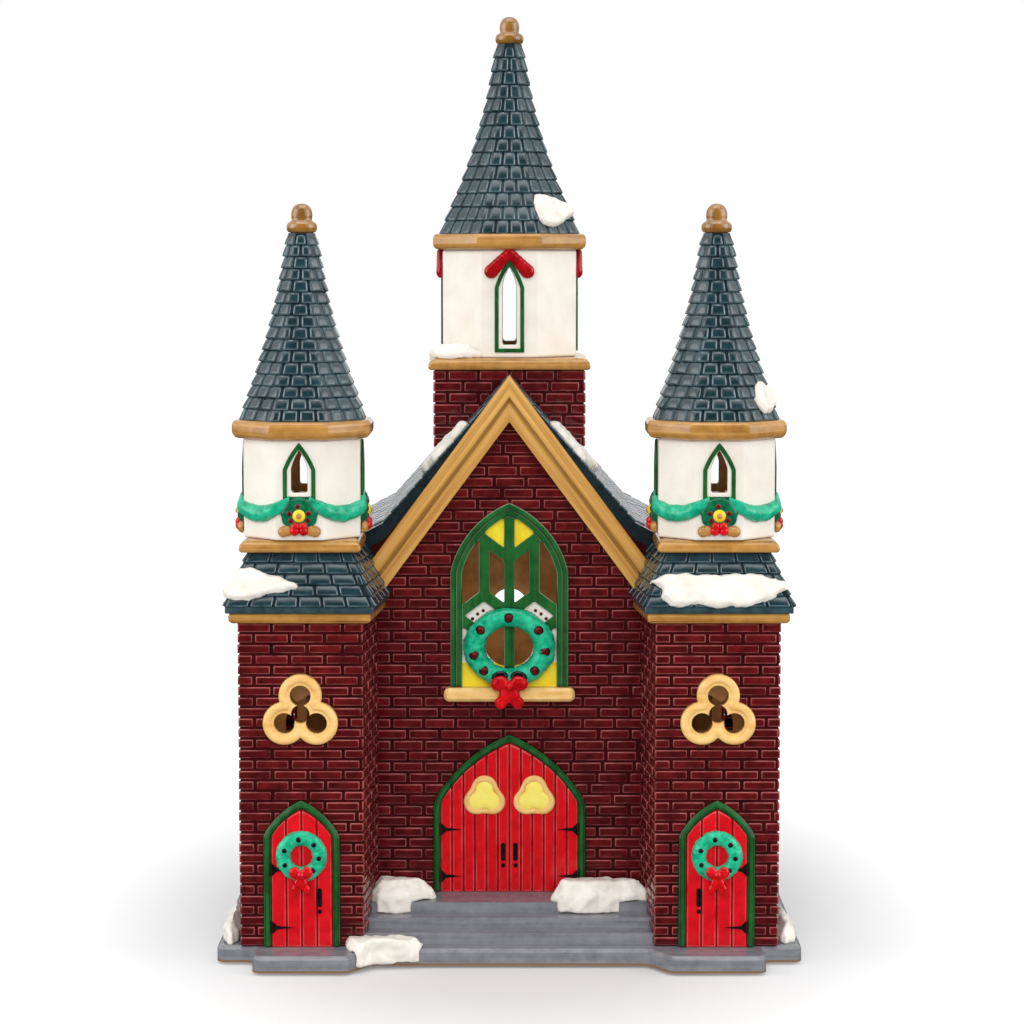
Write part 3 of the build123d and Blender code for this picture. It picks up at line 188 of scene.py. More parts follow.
class Clay:
    """Points and faces of one moulded piece, with a rim value at each point that marks its rounded edge,
    where tile glazes paint a highlight.
    """

    def __init__(self):
        self.points = []
        self.faces = []
        self.rim_highlight = []

    def sheet(self, grid, rims):
        """Adds rows of points as a sheet, closed underneath."""
        first = len(self.points)
        width = len(grid[0])
        last = len(grid) - 1
        for row, row_rims in zip(grid, rims):
            self.points.extend(row)
            self.rim_highlight.extend(row_rims)
        for j, i in itertools.product(range(last), range(width - 1)):
            corner = first + j * width + i
            self.faces.append((corner, corner + 1, corner + width + 1, corner + width))
        around = list(range(width))
        around += [j * width + width - 1 for j in range(1, last + 1)]
        around += [last * width + i for i in range(width - 2, -1, -1)]
        around += [j * width for j in range(last - 1, 0, -1)]
        self.faces.append(tuple(first + k for k in reversed(around)))

    def skin(self, rows, angles, point, capped=True):
        """Adds closed loops, one for each row, through point(row, angle), with both ends shut if capped."""
        first = len(self.points)
        count = len(angles)
        self.points.extend(point(row, angle) for row, angle in itertools.product(rows, angles))
        self.rim_highlight.extend([0.0] * count * len(rows))
        for j, i in itertools.product(range(len(rows) - 1), range(count)):
            a = first + j * count + i
            b = first + j * count + (i + 1) % count
            self.faces.append((a, b, b + count, a + count))
        if capped:
            top = first + (len(rows) - 1) * count
            self.faces.append(tuple(first + i for i in reversed(range(count))))
            self.faces.append(tuple(top + i for i in range(count)))

    def piece(self, name, material, slot):
        """Writes the mesh and seats it on the house."""
        mesh = bpy.data.meshes.new(name)
        mesh.from_pydata([tuple(p * MM for p in point) for point in self.points], [], self.faces)
        mesh.attributes.new("rim_highlight", "FLOAT", "POINT").data.foreach_set("value", self.rim_highlight)
        mesh.shade_smooth()
        mesh.materials.append(material)
        made = put(name, mesh)
        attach(made, "house")
        return made


def shoulders(low, high, edge, middles=0):
    """Lines across a tile with how far each has risen: a rounded edge at both ends."""
    edge = min(edge, (high - low) * 0.45)
    flat = high - low - 2 * edge
    lines = [(low, 0.0), (low + 0.3 * edge, 0.72), (low + edge, 1.0)]
    lines += [(low + edge + flat * (k + 1) / (middles + 1), 1.0) for k in range(middles)]
    lines += [(high - edge, 1.0), (high - 0.3 * edge, 0.72), (high, 0.0)]
    return lines


def tile(clay, place, across, along, rise, edges, lean=0.0, middles=0):
    """One brick or slate: place(s, t, h) puts it on its wall, lean thins it towards its top."""
    grid = []
    rims = []
    for t, t_up in shoulders(*along, edges[1]):
        share = (t - along[0]) / (along[1] - along[0])
        row = []
        row_rims = []
        for s, s_up in shoulders(*across, edges[0], middles):
            up = s_up * t_up
            row.append(place(s, t, up * rise * (1 - lean * share) if up else -SINK))
            row_rims.append(1.0 if 0 < up < 1 else 0.0)
        grid.append(row)
        rims.append(row_rims)
    clay.sheet(grid, rims)


def upright(origin, along):
    """Places points on an upright wall: s along it, t the height, h out of it."""
    out = along.cross(UP)
    return lambda s, t, h: origin + along * s + UP * t + out * h


def whole(length):
    """Spans of a wall or slope without holes."""
    return lambda course: [(0, length)]


def lay_bricks(clay, origin, along, heights, brick, spans):
    """Bricks in running bond on a wall, over the spans that spans(t) leaves free at a height t."""
    place = upright(origin, along)
    floor, top = heights
    courses = max(1, round((top - floor) / brick[1]))
    step = (top - floor) / courses
    for course in range(courses):
        t0 = floor + course * step + COURSE_GAP / 2
        t1 = t0 + step - COURSE_GAP
        for start, end in spans((t0 + t1) / 2):
            s = start - brick[0] * (0.5 if course % 2 else 0.0)
            while s < end:
                s0 = max(s, start)
                s1 = min(s + brick[0] - BRICK_GAP, end)
                if s1 - s0 > SMALLEST_BRICK:
                    ends = [side + dice.uniform(-BRICK_WANDER, BRICK_WANDER) for side in (s0, s1)]
                    rise = BRICK_RISE * dice.uniform(*BRICK_SPREAD)
                    tile(clay, place, ends, (t0, t1), rise, (BRICK_EDGE, BRICK_EDGE))
                s += brick[0]


def without(span, holes):
    """The stretches of a span that are left when the holes are taken out of it."""
    left = [span]
    for low, high in holes:
        kept = []
        for start, end in left:
            if low > start:
                kept.append((start, min(end, low)))
            if high < end:
                kept.append((max(start, high), end))
        left = [(a, b) for a, b in kept if b > a]
    return left


def arch_of(node, jamb_share, bulge, inset):
    """A pointed arch read from its frame: the sill's height, then width, jamb, rise and bulge."""
    low, high = box(node)
    tall = high.z - low.z
    jamb = tall * jamb_share
    return low.z, (high.x - low.x - 2 * inset, jamb, tall - jamb - inset, bulge)


def arch_arc(arch):
    """Middle and radius of the arc on the right flank of a pointed arch."""
    width, jamb, rise, bulge = arch
    half = width / 2
    slope = math.hypot(half, rise)
    radius = slope / (8 * bulge) + slope * bulge / 2
    reach = radius - slope * bulge
    return half / 2 - reach * rise / slope, jamb + rise / 2 - reach * half / slope, radius


def arch_half(arch, height):
    """Half the width of a pointed arch at a height."""
    width, jamb, rise = arch[:3]
    if height <= 0 or height >= jamb + rise:
        return 0.0
    if height <= jamb:
        return width / 2
    x, z, radius = arch_arc(arch)
    return x + math.sqrt(radius**2 - (height - z) ** 2)


def arch_top(arch, across):
    """Height of a pointed arch at a distance from its middle."""
    x, z, radius = arch_arc(arch)
    return z + math.sqrt(radius**2 - (min(abs(across), arch[0] / 2) - x) ** 2)


# Shaders, with colours as red, green and blue from 0 to 255


def tint(*rgb):
    """A colour as the linear value that shaders take."""
    shares = [value / 255 for value in rgb]
    return (*(v / 12.92 if v <= 0.04045 else ((v + 0.055) / 1.055) ** 2.4 for v in shares), 1.0)


class Shading:
    """A shader tree, built node by node."""

    def __init__(self, tree):
        self.tree = tree

    def feed(self, socket, value):
        """Links a socket to another one, or sets it to a value, where a tuple is a colour."""
        if isinstance(value, bpy.types.NodeSocket):
            self.tree.links.new(value, socket)
        else:
            socket.default_value = tint(*value) if isinstance(value, tuple) else value

    def add(self, kind, sockets=None, **settings):
        """A new node with its settings and what its sockets are fed."""
        node = self.tree.nodes.new(f"ShaderNode{kind}")
        for key, value in settings.items():
            setattr(node, key, value)
        for key, value in (sockets or {}).items():
            self.feed(node.inputs[key], value)
        return node

    def maths(self, operation, first, second=0.0):
        """One operation on two values."""
        return self.add("Math", {0: first, 1: second}, operation=operation).outputs[0]

    def blend(self, share, first, second):
        """Two shaders mixed by a share."""
        return self.add("MixShader", {0: share, 1: first, 2: second}).outputs[0]


class Paint(Shading):
    """One procedural material."""

    def __init__(self, name):
        self.material = bpy.data.materials.new(name)
        self.material.use_nodes = True
        super().__init__(self.material.node_tree)
        self.shader = self.tree.nodes["Principled BSDF"]
        self.coordinates = self.add("TexCoord").outputs

    def set(self, socket, value):
        """Feeds one socket of the surface."""
        self.feed(self.shader.inputs[socket], value)

    def cloud(self, stretch, detail=3.0, source=None):
        """Noise from 0 to 1 at that many cells a metre, alike or different along the axes."""
        mapping = self.add("Mapping", {"Vector": source or self.coordinates["Object"]})
        mapping.inputs["Scale"].default_value = stretch if isinstance(stretch, tuple) else (stretch,) * 3
        sockets = {"Vector": mapping.outputs[0], "Scale": 1.0, "Detail": detail, "Roughness": 0.55}
        return self.add("TexNoise", sockets).outputs["Fac"]

    def between(self, value, low, high):
        """Stretches a value so that low becomes 0 and high becomes 1."""
        return self.add("MapRange", {"Value": value, "From Min": low, "From Max": high}).outputs["Result"]

    def mottled(self, tone, deep, stretch, high=0.7):
        """A tone and a deeper one in soft patches."""
        return self.mix(self.between(self.cloud(stretch), 0.3, high), deep, tone)

    def streaks(self, stretch, detail=2.0, source=None):
        """Brush marks from 0 to 1."""
        return self.between(self.cloud(stretch, detail, source), 0.32, 0.7)

    def mix(self, share, first, second):
        """Two colours mixed by a share."""
        return self.add("Mix", {0: share, 6: first, 7: second}, data_type="RGBA").outputs[2]

    def times(self, first, second):
        """Two values multiplied."""
        return self.maths("MULTIPLY", first, second)

    def axes(self, source=None):
        """A vector's X, Y and Z, of the place on the object unless another is named."""
        return self.add("SeparateXYZ", {0: source or self.coordinates["Object"]}).outputs

    def corner(self, distance):
        """How deep a spot lies in a corner, from what shades it within a distance in millimetres."""
        shaded = self.add("AmbientOcclusion", {"Distance": distance * MM}, samples=6)
        return self.between(shaded.outputs["AO"], 0.8, 0.4)

    def finish(self, colour, roughness, specular, ripple=None, strength=0.12, depth=0.18, detail=2.0):
        """Colour, gloss and a fine ripple with its cells a metre and its depth in millimetres."""
        self.set("Base Color", colour)
        self.set("Roughness", roughness)
        self.set("Specular IOR Level", specular)
        if ripple:
            height = self.cloud(ripple, detail)
            bump = self.add("Bump", {"Height": height, "Strength": strength, "Distance": depth * MM})
            self.set("Normal", bump.outputs[0])
        return self.material


WORN_EDGE = (196, 214, 184)
# Near-black mixed into recesses: painted shade, partly glaze pooled there
POOL_SHADE = (8, 6, 6)
GLAZE_RIPPLE = 520


def glaze(
    name, tone, deep, pale=None, roughness=0.14, specular=0.4, mottle=220, streak=None, broken=0.0, pooled_shade=0.0
):
    """A brushed-on ceramic glaze: thick and thin patches, brush streaks, pale where it breaks on edges, and
    darkened towards black in recesses as painted shade, partly glaze pooled there.
    """
    paint = Paint(name)
    shade = paint.mottled(tone, deep, mottle, 0.72)
    if streak:
        shade = paint.mix(paint.times(paint.streaks(streak), 0.55), shade, pale or tone)
    if broken:
        facing = paint.maths("ABSOLUTE", paint.axes(paint.coordinates["Normal"])["Y"])
        shade = paint.mix(paint.times(paint.between(facing, 0.92, 0.5), broken), shade, WORN_EDGE)
    # Painted shade: darkened towards black where ambient occlusion finds a recess, partly glaze pooled there
    if pooled_shade:
        shade = paint.mix(paint.times(paint.corner(pooled_shade), 0.8), shade, POOL_SHADE)
    return paint.finish(shade, roughness, specular, GLAZE_RIPPLE)


def tile_glaze(name, tone, deep, rim_highlight, roughness, specular, highlight_share):
    """Glaze on bricks, slates or planks, each a little different and paler round its rim: a painted
    highlight, partly glaze breaking thin over the edge.
    """
    paint = Paint(name)
    shade = paint.mottled(tone, deep, 190)
    each = paint.add("NewGeometry").outputs["Random Per Island"]
    shade = paint.mix(paint.times(each, 0.55), shade, deep)
    # Painted highlight along each rounded edge, broken up in patches; partly the glaze thinning there
    wear_and_highlight = paint.between(paint.cloud(110), 0.3, 0.6)
    edge = paint.times(paint.add("Attribute", attribute_name="rim_highlight").outputs["Fac"], wear_and_highlight)
    shade = paint.mix(paint.times(edge, highlight_share), shade, rim_highlight)
    return paint.finish(shade, roughness, specular, (420, 420, 700), 0.16, 0.2)


MORTAR = ((72, 12, 15), (40, 5, 8))
WHITE = ((242, 237, 227), (231, 222, 209))
UPRIGHT_STROKES = (300, 300, 30)
brick_glaze = tile_glaze("brick_glaze", (110, 21, 25), (62, 8, 11), (206, 108, 104), 0.14, 0.5, 0.62)
slate_glaze = tile_glaze("slate_glaze", (36, 64, 72), (18, 40, 46), (140, 168, 178), 0.18, 0.85, 0.42)
plank_glaze = tile_glaze("plank_glaze", (230, 18, 32), (198, 8, 22), (255, 132, 128), 0.14, 0.6, 0.5)
mortar_glaze = glaze("mortar_glaze", *MORTAR, mottle=300, roughness=0.22)
gap_glaze = glaze("gap_glaze", (34, 50, 57), (20, 32, 38), mottle=300, roughness=0.2)
gold_glaze = glaze(
    "gold_glaze", (186, 132, 62), (146, 98, 40), (212, 162, 90), specular=0.7, streak=(26, 26, 700)
)
# A darker copy of the gold glaze for the finials: painted shade
finial_glaze = glaze(
    "finial_glaze", (164, 114, 50), (112, 74, 28), roughness=0.08, specular=1.0, mottle=120
)
pale_gold = glaze("pale_gold", (244, 200, 126), (226, 172, 92), (250, 216, 150), streak=(60, 60, 500))
green_glaze = glaze(
    "green_glaze", (34, 98, 44), (16, 64, 28), (50, 122, 58), streak=UPRIGHT_STROKES, broken=0.5, pooled_shade=2.2
)
frame_glaze = glaze(
    "frame_glaze", (28, 92, 42), (12, 58, 26), (44, 116, 58), streak=UPRIGHT_STROKES, pooled_shade=1.6
)
leaf_glaze = glaze(
    "leaf_glaze", (6, 186, 138), (2, 128, 94), (72, 220, 172), specular=0.3, streak=300, mottle=420
)
swag_glaze = glaze("swag_glaze", (4, 182, 136), (1, 122, 90), (64, 216, 170), streak=260, mottle=300)
rosette_glaze = glaze("rosette_glaze", (12, 124, 84), (2, 76, 50), mottle=420)
seam_glaze = glaze("seam_glaze", (176, 8, 20), (140, 4, 12), mottle=300)
bow_glaze = glaze("bow_glaze", (226, 22, 30), (168, 6, 14), mottle=260, roughness=0.1)
drape_glaze = glaze("drape_glaze", (186, 12, 20), (128, 4, 10), mottle=260, roughness=0.1)
berry_glaze = glaze("berry_glaze", (128, 12, 22), (70, 4, 10), mottle=400, roughness=0.1)
black_glaze = glaze("black_glaze", (26, 22, 24), (10, 9, 10), mottle=300)
yellow_glaze = glaze("yellow_glaze", (250, 226, 60), (238, 200, 34), mottle=160)
door_yellow = glaze("door_yellow", (252, 240, 128), (250, 226, 90), mottle=180)


def skirt_material():
    """Slate glaze on a skirt's plain lip, dark in the gaps between its slates."""
    paint = Paint("skirt_glaze")
    lip = paint.maths("LESS_THAN", paint.axes()["Z"], (skirt_lip_z + 0.1) * MM)
    slate = paint.mottled((58, 82, 90), (36, 54, 61), 190)
    return paint.finish(paint.mix(lip, (26, 40, 46), slate), 0.14, 0.45, 420, 0.16, 0.2)


def base_material():
    """Grey glaze brushed over the base, wiped off the brown clay at its foot."""
    paint = Paint("base_glaze")
    foot = paint.maths("LESS_THAN", paint.axes()["Z"], (box("base_plinth")[0].z + 0.9) * MM)
    shade = paint.mottled((128, 128, 135), (102, 103, 111), 220, 0.72)
    shade = paint.mix(paint.times(paint.streaks((18, 240, 500)), 0.55), shade, (150, 151, 157))
    return paint.finish(paint.mix(foot, shade, (134, 102, 74)), 0.26, 0.4, GLAZE_RIPPLE)


def gable_material():
    """Gold glaze brushed along the gable's two slopes."""
    paint = Paint("gable_glaze")
    axes = paint.axes()
    sideways = paint.times(paint.maths("ABSOLUTE", axes["X"]), math.sin(GABLE_PITCH))
    down = paint.maths("ADD", sideways, paint.times(axes["Z"], math.cos(GABLE_PITCH)))
    across = paint.add("CombineXYZ", {0: down, 1: paint.times(axes["Z"], 0.03)}).outputs[0]
    shade = paint.mix(paint.streaks(520, 3.0, across), (176, 122, 54), (220, 172, 98))
    return paint.finish(shade, 0.14, 0.3, GLAZE_RIPPLE)


def snow_material():
    """Matt white snow that lets a little light in."""
    paint = Paint("snow_finish")
    paint.set("Subsurface Weight", 0.12)
    paint.set("Subsurface Radius", Vector((0.003, 0.0025, 0.002)))
    shade = paint.mottled((242, 237, 229), (228, 220, 208), 140)
    return paint.finish(shade, 0.42, 0.35, 460, 0.35, 0.5, 4.0)


def pane_material():
    """Yellow glass at the top and in the corners, white behind the forks and the wreath."""
    paint = Paint("pane_glaze")
    height = paint.between(paint.axes()["Z"], window_low.z * MM, window_high.z * MM)
    white = paint.times(paint.maths("GREATER_THAN", height, 0.13), paint.maths("LESS_THAN", height, 0.6))
    yellow = paint.mottled((250, 230, 62), (240, 204, 40), 160)
    return paint.finish(paint.mix(white, yellow, (236, 231, 222)), 0.14, 0.4)


def inner_material(name, outside, centre, reach, depth=None, octagonal=False):
    """A glaze outside and bare brown clay inside a hollow casting."""
    paint = Paint(name)
    away = [
        paint.maths("ABSOLUTE", paint.maths("SUBTRACT", axis, middle * MM))
        for axis, middle in zip(paint.axes(), centre)
    ]
    limits = (reach * MM, (depth or reach) * MM)
    inside = paint.times(*(paint.maths("LESS_THAN", far, limit) for far, limit in zip(away, limits)))
    if octagonal:
        slant = paint.maths("LESS_THAN", paint.maths("ADD", *away), reach * math.sqrt(2) * MM)
        inside = paint.times(inside, slant)
    clay = paint.mottled((122, 86, 52), (92, 62, 34), 120)
    glazed = paint.mottled(*outside, 70)
    return paint.finish(paint.mix(inside, glazed, clay), 0.16, 0.4, GLAZE_RIPPLE, 0.1)


def plain_plastic(name, tone, deep, roughness):
    """Moulded plastic with a fine spark-eroded grain."""
    paint = Paint(name)
    return paint.finish(paint.mottled(tone, deep, 600), roughness, 0.4, 2600, 0.25, 0.08)


def metal_finish(name, tone, deep, roughness):
    """Drawn metal with faint lines along X."""
    paint = Paint(name)
    paint.set("Metallic", 1.0)
    return paint.finish(paint.mottled(tone, deep, (60, 1500, 1500)), roughness, 0.5)


def felt_finish():
    """Pressed wool felt."""
    paint = Paint("felt")
    paint.set("Sheen Weight", 0.4)
    shade = paint.mix(paint.cloud(900, 5.0), (38, 36, 35), (78, 75, 72))
    return paint.finish(shade, 0.95, 0.1, 2400, 0.7, 0.3, 4.0)


def lamp_finish():
    """Frosted warm-white lamp dome."""
    paint = Paint("lamp_dome")
    paint.set("Transmission Weight", 0.4)
    return paint.finish(paint.mix(paint.cloud(400), (250, 240, 214), (255, 248, 230)), 0.35, 0.5)


def dress(material, *names):
    """Gives solids their finish."""
    for name in names:
        mesh = nodes[name].data
        mesh.materials.clear()
        mesh.materials.append(material)


def round_off(width, *names, clamped=True):
    """Rounds a solid's hard edges, as casting and glaze do."""
    for name in names:
        weld = nodes[name].modifiers.new("weld", "WELD")
        weld.merge_threshold = 0.01 * MM
        bevel = nodes[name].modifiers.new("bevel", "BEVEL")
        bevel.width = width * MM
        bevel.segments = 3
        bevel.use_clamp_overlap = clamped
        bevel.limit_method = "ANGLE"
        bevel.angle_limit = math.radians(28)
        nodes[name].data.shade_smooth()
        nodes[name].modifiers.new("normals", "WEIGHTED_NORMAL").keep_sharp = True


# Brick walls


def lobes():
    """Middles of a trefoil's three lobes, from its own middle."""
    turns = [math.radians(turn) for turn in (90, 210, 330)]
    return [(LOBE_REACH * math.cos(turn), LOBE_REACH * math.sin(turn)) for turn in turns]


def tower_bricks(name, side):
    """Bricks on a tower's front, sides and the part of its back that shows."""
    clay = Clay()
    heights = (base_top, eave_z)
    middle = tower_half + BRICK_RISE
    door_z, door_arch = arch_of(f"{name}_door_frame", SIDE_JAMB, ARCH_BULGE, DOOR_LAP)
    rounds = [(0.0, 0.0, LOBE_REACH)] + [(*lobe, TREFOIL_CLEAR) for lobe in lobes()]

    def front_spans(t):
        half = arch_half(door_arch, t - door_z)
        holes = [(middle - half, middle + half)] if half else []
        for across, up, radius in rounds:
            reach = radius**2 - (t - trefoil_z - up) ** 2
            if reach > 0:
                centre = middle + across
                holes.append((centre - math.sqrt(reach), centre + math.sqrt(reach)))
        return without((0, 2 * middle), sorted(holes))

    front = Vector((side * tower_x - middle, tower_front_y, 0))
    lay_bricks(clay, front, EAST, heights, TOWER_BRICK, front_spans)
    depth = tower_back_y - tower_front_y
    outer = Vector((side * tower_outer_x, tower_front_y if side > 0 else tower_back_y, 0))
    lay_bricks(clay, outer, BACK * side, heights, TOWER_BRICK, whole(depth))
    inner = Vector((side * tower_inner_x, tower_front_y, 0))
    run = Vector((side * (tower_low.x - tower_inner_x), depth, 0))
    start = inner if side < 0 else inner + run
    lay_bricks(clay, start, run.normalized() * -side, heights, TOWER_BRICK, whole(run.length))
    back = Vector((side * (tower_outer_x if side > 0 else nave_half), tower_back_y, 0))
    back_run = tower_outer_x - nave_half
    lay_bricks(clay, back, -EAST, heights, TOWER_BRICK, whole(back_run))
    clay.piece(f"{name}_tower_bricks", brick_glaze, "brick_glaze")
    bed = Clay()
    tile(bed, upright(back, -EAST), (0, back_run), heights, BED_RISE, (BED_EDGE, BED_EDGE))
    bed.piece(f"{name}_back_mortar", mortar_glaze, "brick_glaze")


def nave_bricks():
    """Bricks on the gable front, the aisle walls and the back of the nave."""
    clay = Clay()
    front_half = tower_inner_x - TOWER_CLEAR
    window_z, window_arch = arch_of("window_tracery", WINDOW_JAMB, WINDOW_BULGE, WINDOW_LAP)
    door_z, door_arch = arch_of("main_door_frame", MAIN_JAMB, ARCH_BULGE, DOOR_LAP)
    gable_peak = box("gable_trim")[1].z - TRIM_COVER
    gable_slope = math.tan(GABLE_PITCH)

    def front_spans(t):
        reach = min(front_half, (gable_peak - t) / gable_slope)
        hole = max(arch_half(window_arch, t - window_z), arch_half(door_arch, t - door_z))
        holes = [(front_half - hole, front_half + hole)] if hole else []
        return without((front_half - reach, front_half + reach), holes)

    front = Vector((-front_half, nave_front_y, 0))
    lay_bricks(clay, front, EAST, (door_z, gable_peak), NAVE_BRICK, front_spans)
    kink_under = kink_z - ROOF_DROP
    wall_top = kink_under - (nave_half - kink_x) * (kink_z - aisle_z) / (aisle_x - kink_x)
    length = nave_back_y - tower_back_y
    for side in SIDES.values():
        start = Vector((side * nave_half, tower_back_y if side > 0 else nave_back_y, 0))
        lay_bricks(clay, start, BACK * side, (base_top, wall_top), NAVE_BRICK, whole(length))
    centre = nave_half + BRICK_RISE

    def back_spans(t):
        half = centre
        if t > wall_top:
            half = kink_x + (kink_under - t) * (nave_half - kink_x) / (kink_under - wall_top)
        if t > kink_under:
            half = (ridge_z - ROOF_DROP - t) / roof_slope
        inside = REAR_HOLE_CLEAR**2 - (t - base_top - REAR_HOLE_HEIGHT) ** 2
        hole = [(centre - math.sqrt(inside), centre + math.sqrt(inside))] if inside > 0 else []
        return without((centre - half, centre + half), hole)

    back = Vector((centre, nave_back_y, 0))
    lay_bricks(clay, back, -EAST, (base_top, ridge_z - RIDGE_COVER), NAVE_BRICK, back_spans)
    clay.piece("nave_bricks", brick_glaze, "brick_glaze")


def belfry_bricks():
    """Bricks on the stump under the belfry, cut to the roof that it stands on."""
    clay = Clay()
    half = belfry_half + BRICK_RISE
    heights = (ridge_z - belfry_half * roof_slope, belfry_high.z)
    flank = whole(2 * belfry_half)

    def gable_spans(t):
        covered = max(0.0, (ridge_z - t) / roof_slope)
        return without((0, 2 * half), [(half - covered, half + covered)] if covered else [])

    for x, y, along, spans in (
        (-half, belfry_low.y, EAST, gable_spans),
        (half, belfry_high.y, -EAST, gable_spans),
        (belfry_half, belfry_low.y, BACK, flank),
        (-belfry_half, belfry_high.y, -BACK, flank),
    ):
        lay_bricks(clay, Vector((x, y, 0)), along, heights, NAVE_BRICK, spans)
    clay.piece("belfry_bricks", brick_glaze, "brick_glaze")


# Slates


def spire_levels(node):
    """A spire's middle, and the heights of its courses with the half width of its front at each."""
    low, high = box(node)
    x, y = (low.x + high.x) / 2, (low.y + high.y) / 2
    levels = {}
    for p in vertices(node):
        reach = y - p.y
        if reach > 2 and abs(p.x - x) <= reach * math.tan(OCTANT) + NEAR:
            levels.setdefault(round(p.z, 1), []).append(reach)
    heights = []
    for z in sorted(levels):
        hollow = len(levels[z]) < 4 and low.z < z < high.z
        if not hollow and (not heights or z - heights[-1] > 1):
            heights.append(z)
    return Vector((x, y, 0)), [(z, max(levels[z])) for z in heights]


def round_octagon(centre, s, half, h):
    """The point at share s round an octagon, h out from its faces, turning softly at the corners."""
    face = round(s * 8)
    offset = s * 8 - face
    turn = 2 * OCTANT * face
    lean = math.copysign(max(0.0, abs(offset) - FACE_FLAT) / FACE_BEND, offset) * OCTANT
    along = offset * 2 * half * math.tan(OCTANT)
    out, side = compass(turn)
    lift = compass(turn + lean)[0]
    return centre + out * half + side * along + lift * h


def spire_slates(node, slate_width):
    """Overlapping slates in rings round a spire."""
    clay = Clay()
    centre, levels = spire_levels(node)
    for course, ((foot_z, foot), (head_z, head)) in enumerate(itertools.pairwise(levels)):
        girth = 16 * foot * math.tan(OCTANT)
        count = max(8, round(girth / slate_width))
        step = girth / count

        def place(s, t, h):
            share = (t - foot_z) / (head_z - foot_z)
            half = foot + (head - COURSE_LIP - foot) * share
            return round_octagon(centre, s / girth, half, h) + UP * t

        for k in range(count):
            s0 = (k + (0.5 if course % 2 else 0.0)) * step + SLATE_GAP / 2
            s1 = s0 + step - SLATE_GAP
            drop = dice.uniform(0.0, SLATE_DROP)
            rise = SLATE_RISE * dice.uniform(*SLATE_SPREAD)
            tile(clay, place, (s0, s1), (foot_z - drop, head_z), rise, SPIRE_EDGES, SLATE_LEAN, 3)
    clay.piece(node.replace("spire", "slates"), slate_glaze, "slate_glaze")


def lay_slates(clay, corners, courses, spans, lip=0.0):
    """Slates on a sloping face given by its foot and head lines, each from left to right."""
    foot_left, foot_right, head_left, head_right = corners
    across = foot_right - foot_left
    up = (head_left + head_right - foot_left - foot_right) / 2
    out = across.cross(up).normalized()
    length = across.length
    narrowing = (head_right - head_left).length / length - 1

    def place(s, t, h):
        low = foot_left.lerp(foot_right, s / length)
        high = head_left.lerp(head_right, s / length)
        return low.lerp(high, t / courses) + out * (h + lip * (1 - t % 1))

    for course in range(courses):
        width = SLATE_WIDTH / (1 + narrowing * (course + 0.5) / courses)
        for start, end in spans(course):
            s = start - (width * 0.5 if course % 2 else 0.0)
            while s < end:
                s0 = max(s, start) + SLATE_GAP / 2
                s1 = min(s + width, end) - SLATE_GAP / 2
                if s1 - s0 > SMALLEST_SLATE:
                    rise = SLATE_RISE * dice.uniform(*SLATE_SPREAD)
                    rows = (course - dice.uniform(0.0, SLATE_SLIP), course + SLATE_LENGTH)
                    tile(clay, place, (s0, s1), rows, rise, SLATE_EDGES, SLATE_LEAN)
                s += width


def skirt_slates(name, side):
    """Slates on the four slopes of a tower's skirt roof."""
    clay = Clay()
    points = vertices(f"{name}_tower_skirt")
    middle = Vector((side * tower_x, tower_y, 0))

    def corner(z, east, north):
        level = [p for p in points if abs(p.z - z) < NEAR]
        level = [p for p in level if (p.x - middle.x) * east > 0 and (p.y - middle.y) * north > 0]
        return max(level, key=lambda p: abs(p.x - middle.x) + abs(p.y - middle.y))

    turns = ((-1, -1), (1, -1), (1, 1), (-1, 1), (-1, -1))
    for ends in itertools.pairwise(turns):
        corners = [corner(z, *end) for z in (skirt_lip_z, skirt_high.z) for end in ends]
        length = (corners[1] - corners[0]).length
        lay_slates(clay, corners, SKIRT_COURSES, whole(length), COURSE_LIP)
    clay.piece(f"{name}_skirt_slates", slate_glaze, "slate_glaze")


def slope(side, foot, head, front, back):
    """Corners of a roof slope on one side, from the x and z of its foot and head lines."""
    ends = (front, back) if side > 0 else (back, front)
    return [Vector((side * x, y, z)) for x, z in (foot, head) for y in ends]


def roof_slates():
    """Slates on the nave's steep slopes and the flatter aisle roofs."""
    clay = Clay()
    kink = (kink_x, kink_z)
    front = nave_front_y + ROOF_START
    aisle_front = tower_back_y + ROOF_START
    back = roof_high.y
    length = back - front
    courses = round(math.hypot(kink_x, ridge_z - kink_z) / SLATE_COURSE)
    aisle_courses = round(math.hypot(aisle_x - kink_x, kink_z - aisle_z) / SLATE_COURSE)
    belfry = (belfry_low.y - BRICK_RISE - front, belfry_high.y + BRICK_RISE - front)
    for side in SIDES.values():

        def spans(course):
            x = kink_x * (1 - (course + 0.5) / courses)
            hole = belfry if side > 0 else (length - belfry[1], length - belfry[0])
            return without((0, length), [hole] if x < belfry_half + BELFRY_CLEAR else [])

        lay_slates(clay, slope(side, kink, (0, ridge_z), front, back), courses, spans)
        aisle = slope(side, (aisle_x, aisle_z), kink, aisle_front, back)
        lay_slates(clay, aisle, aisle_courses, whole(back - aisle_front))
    clay.piece("roof_slates", slate_glaze, "slate_glaze")


# Moulded blobs: bows, berries, flowers and snow


def melt(made, voxel):
    """Melts the bodies of a piece into one skin."""
    remesh = made.modifiers.new("melt", "REMESH")
    remesh.mode = "VOXEL"
    remesh.voxel_size = voxel * MM
    remesh.use_smooth_shade = True


def soften(made, times, factor):
    """Smooths a piece's lumps."""
    smoothing = made.modifiers.new("soften", "SMOOTH")
    smoothing.iterations = times
    smoothing.factor = factor


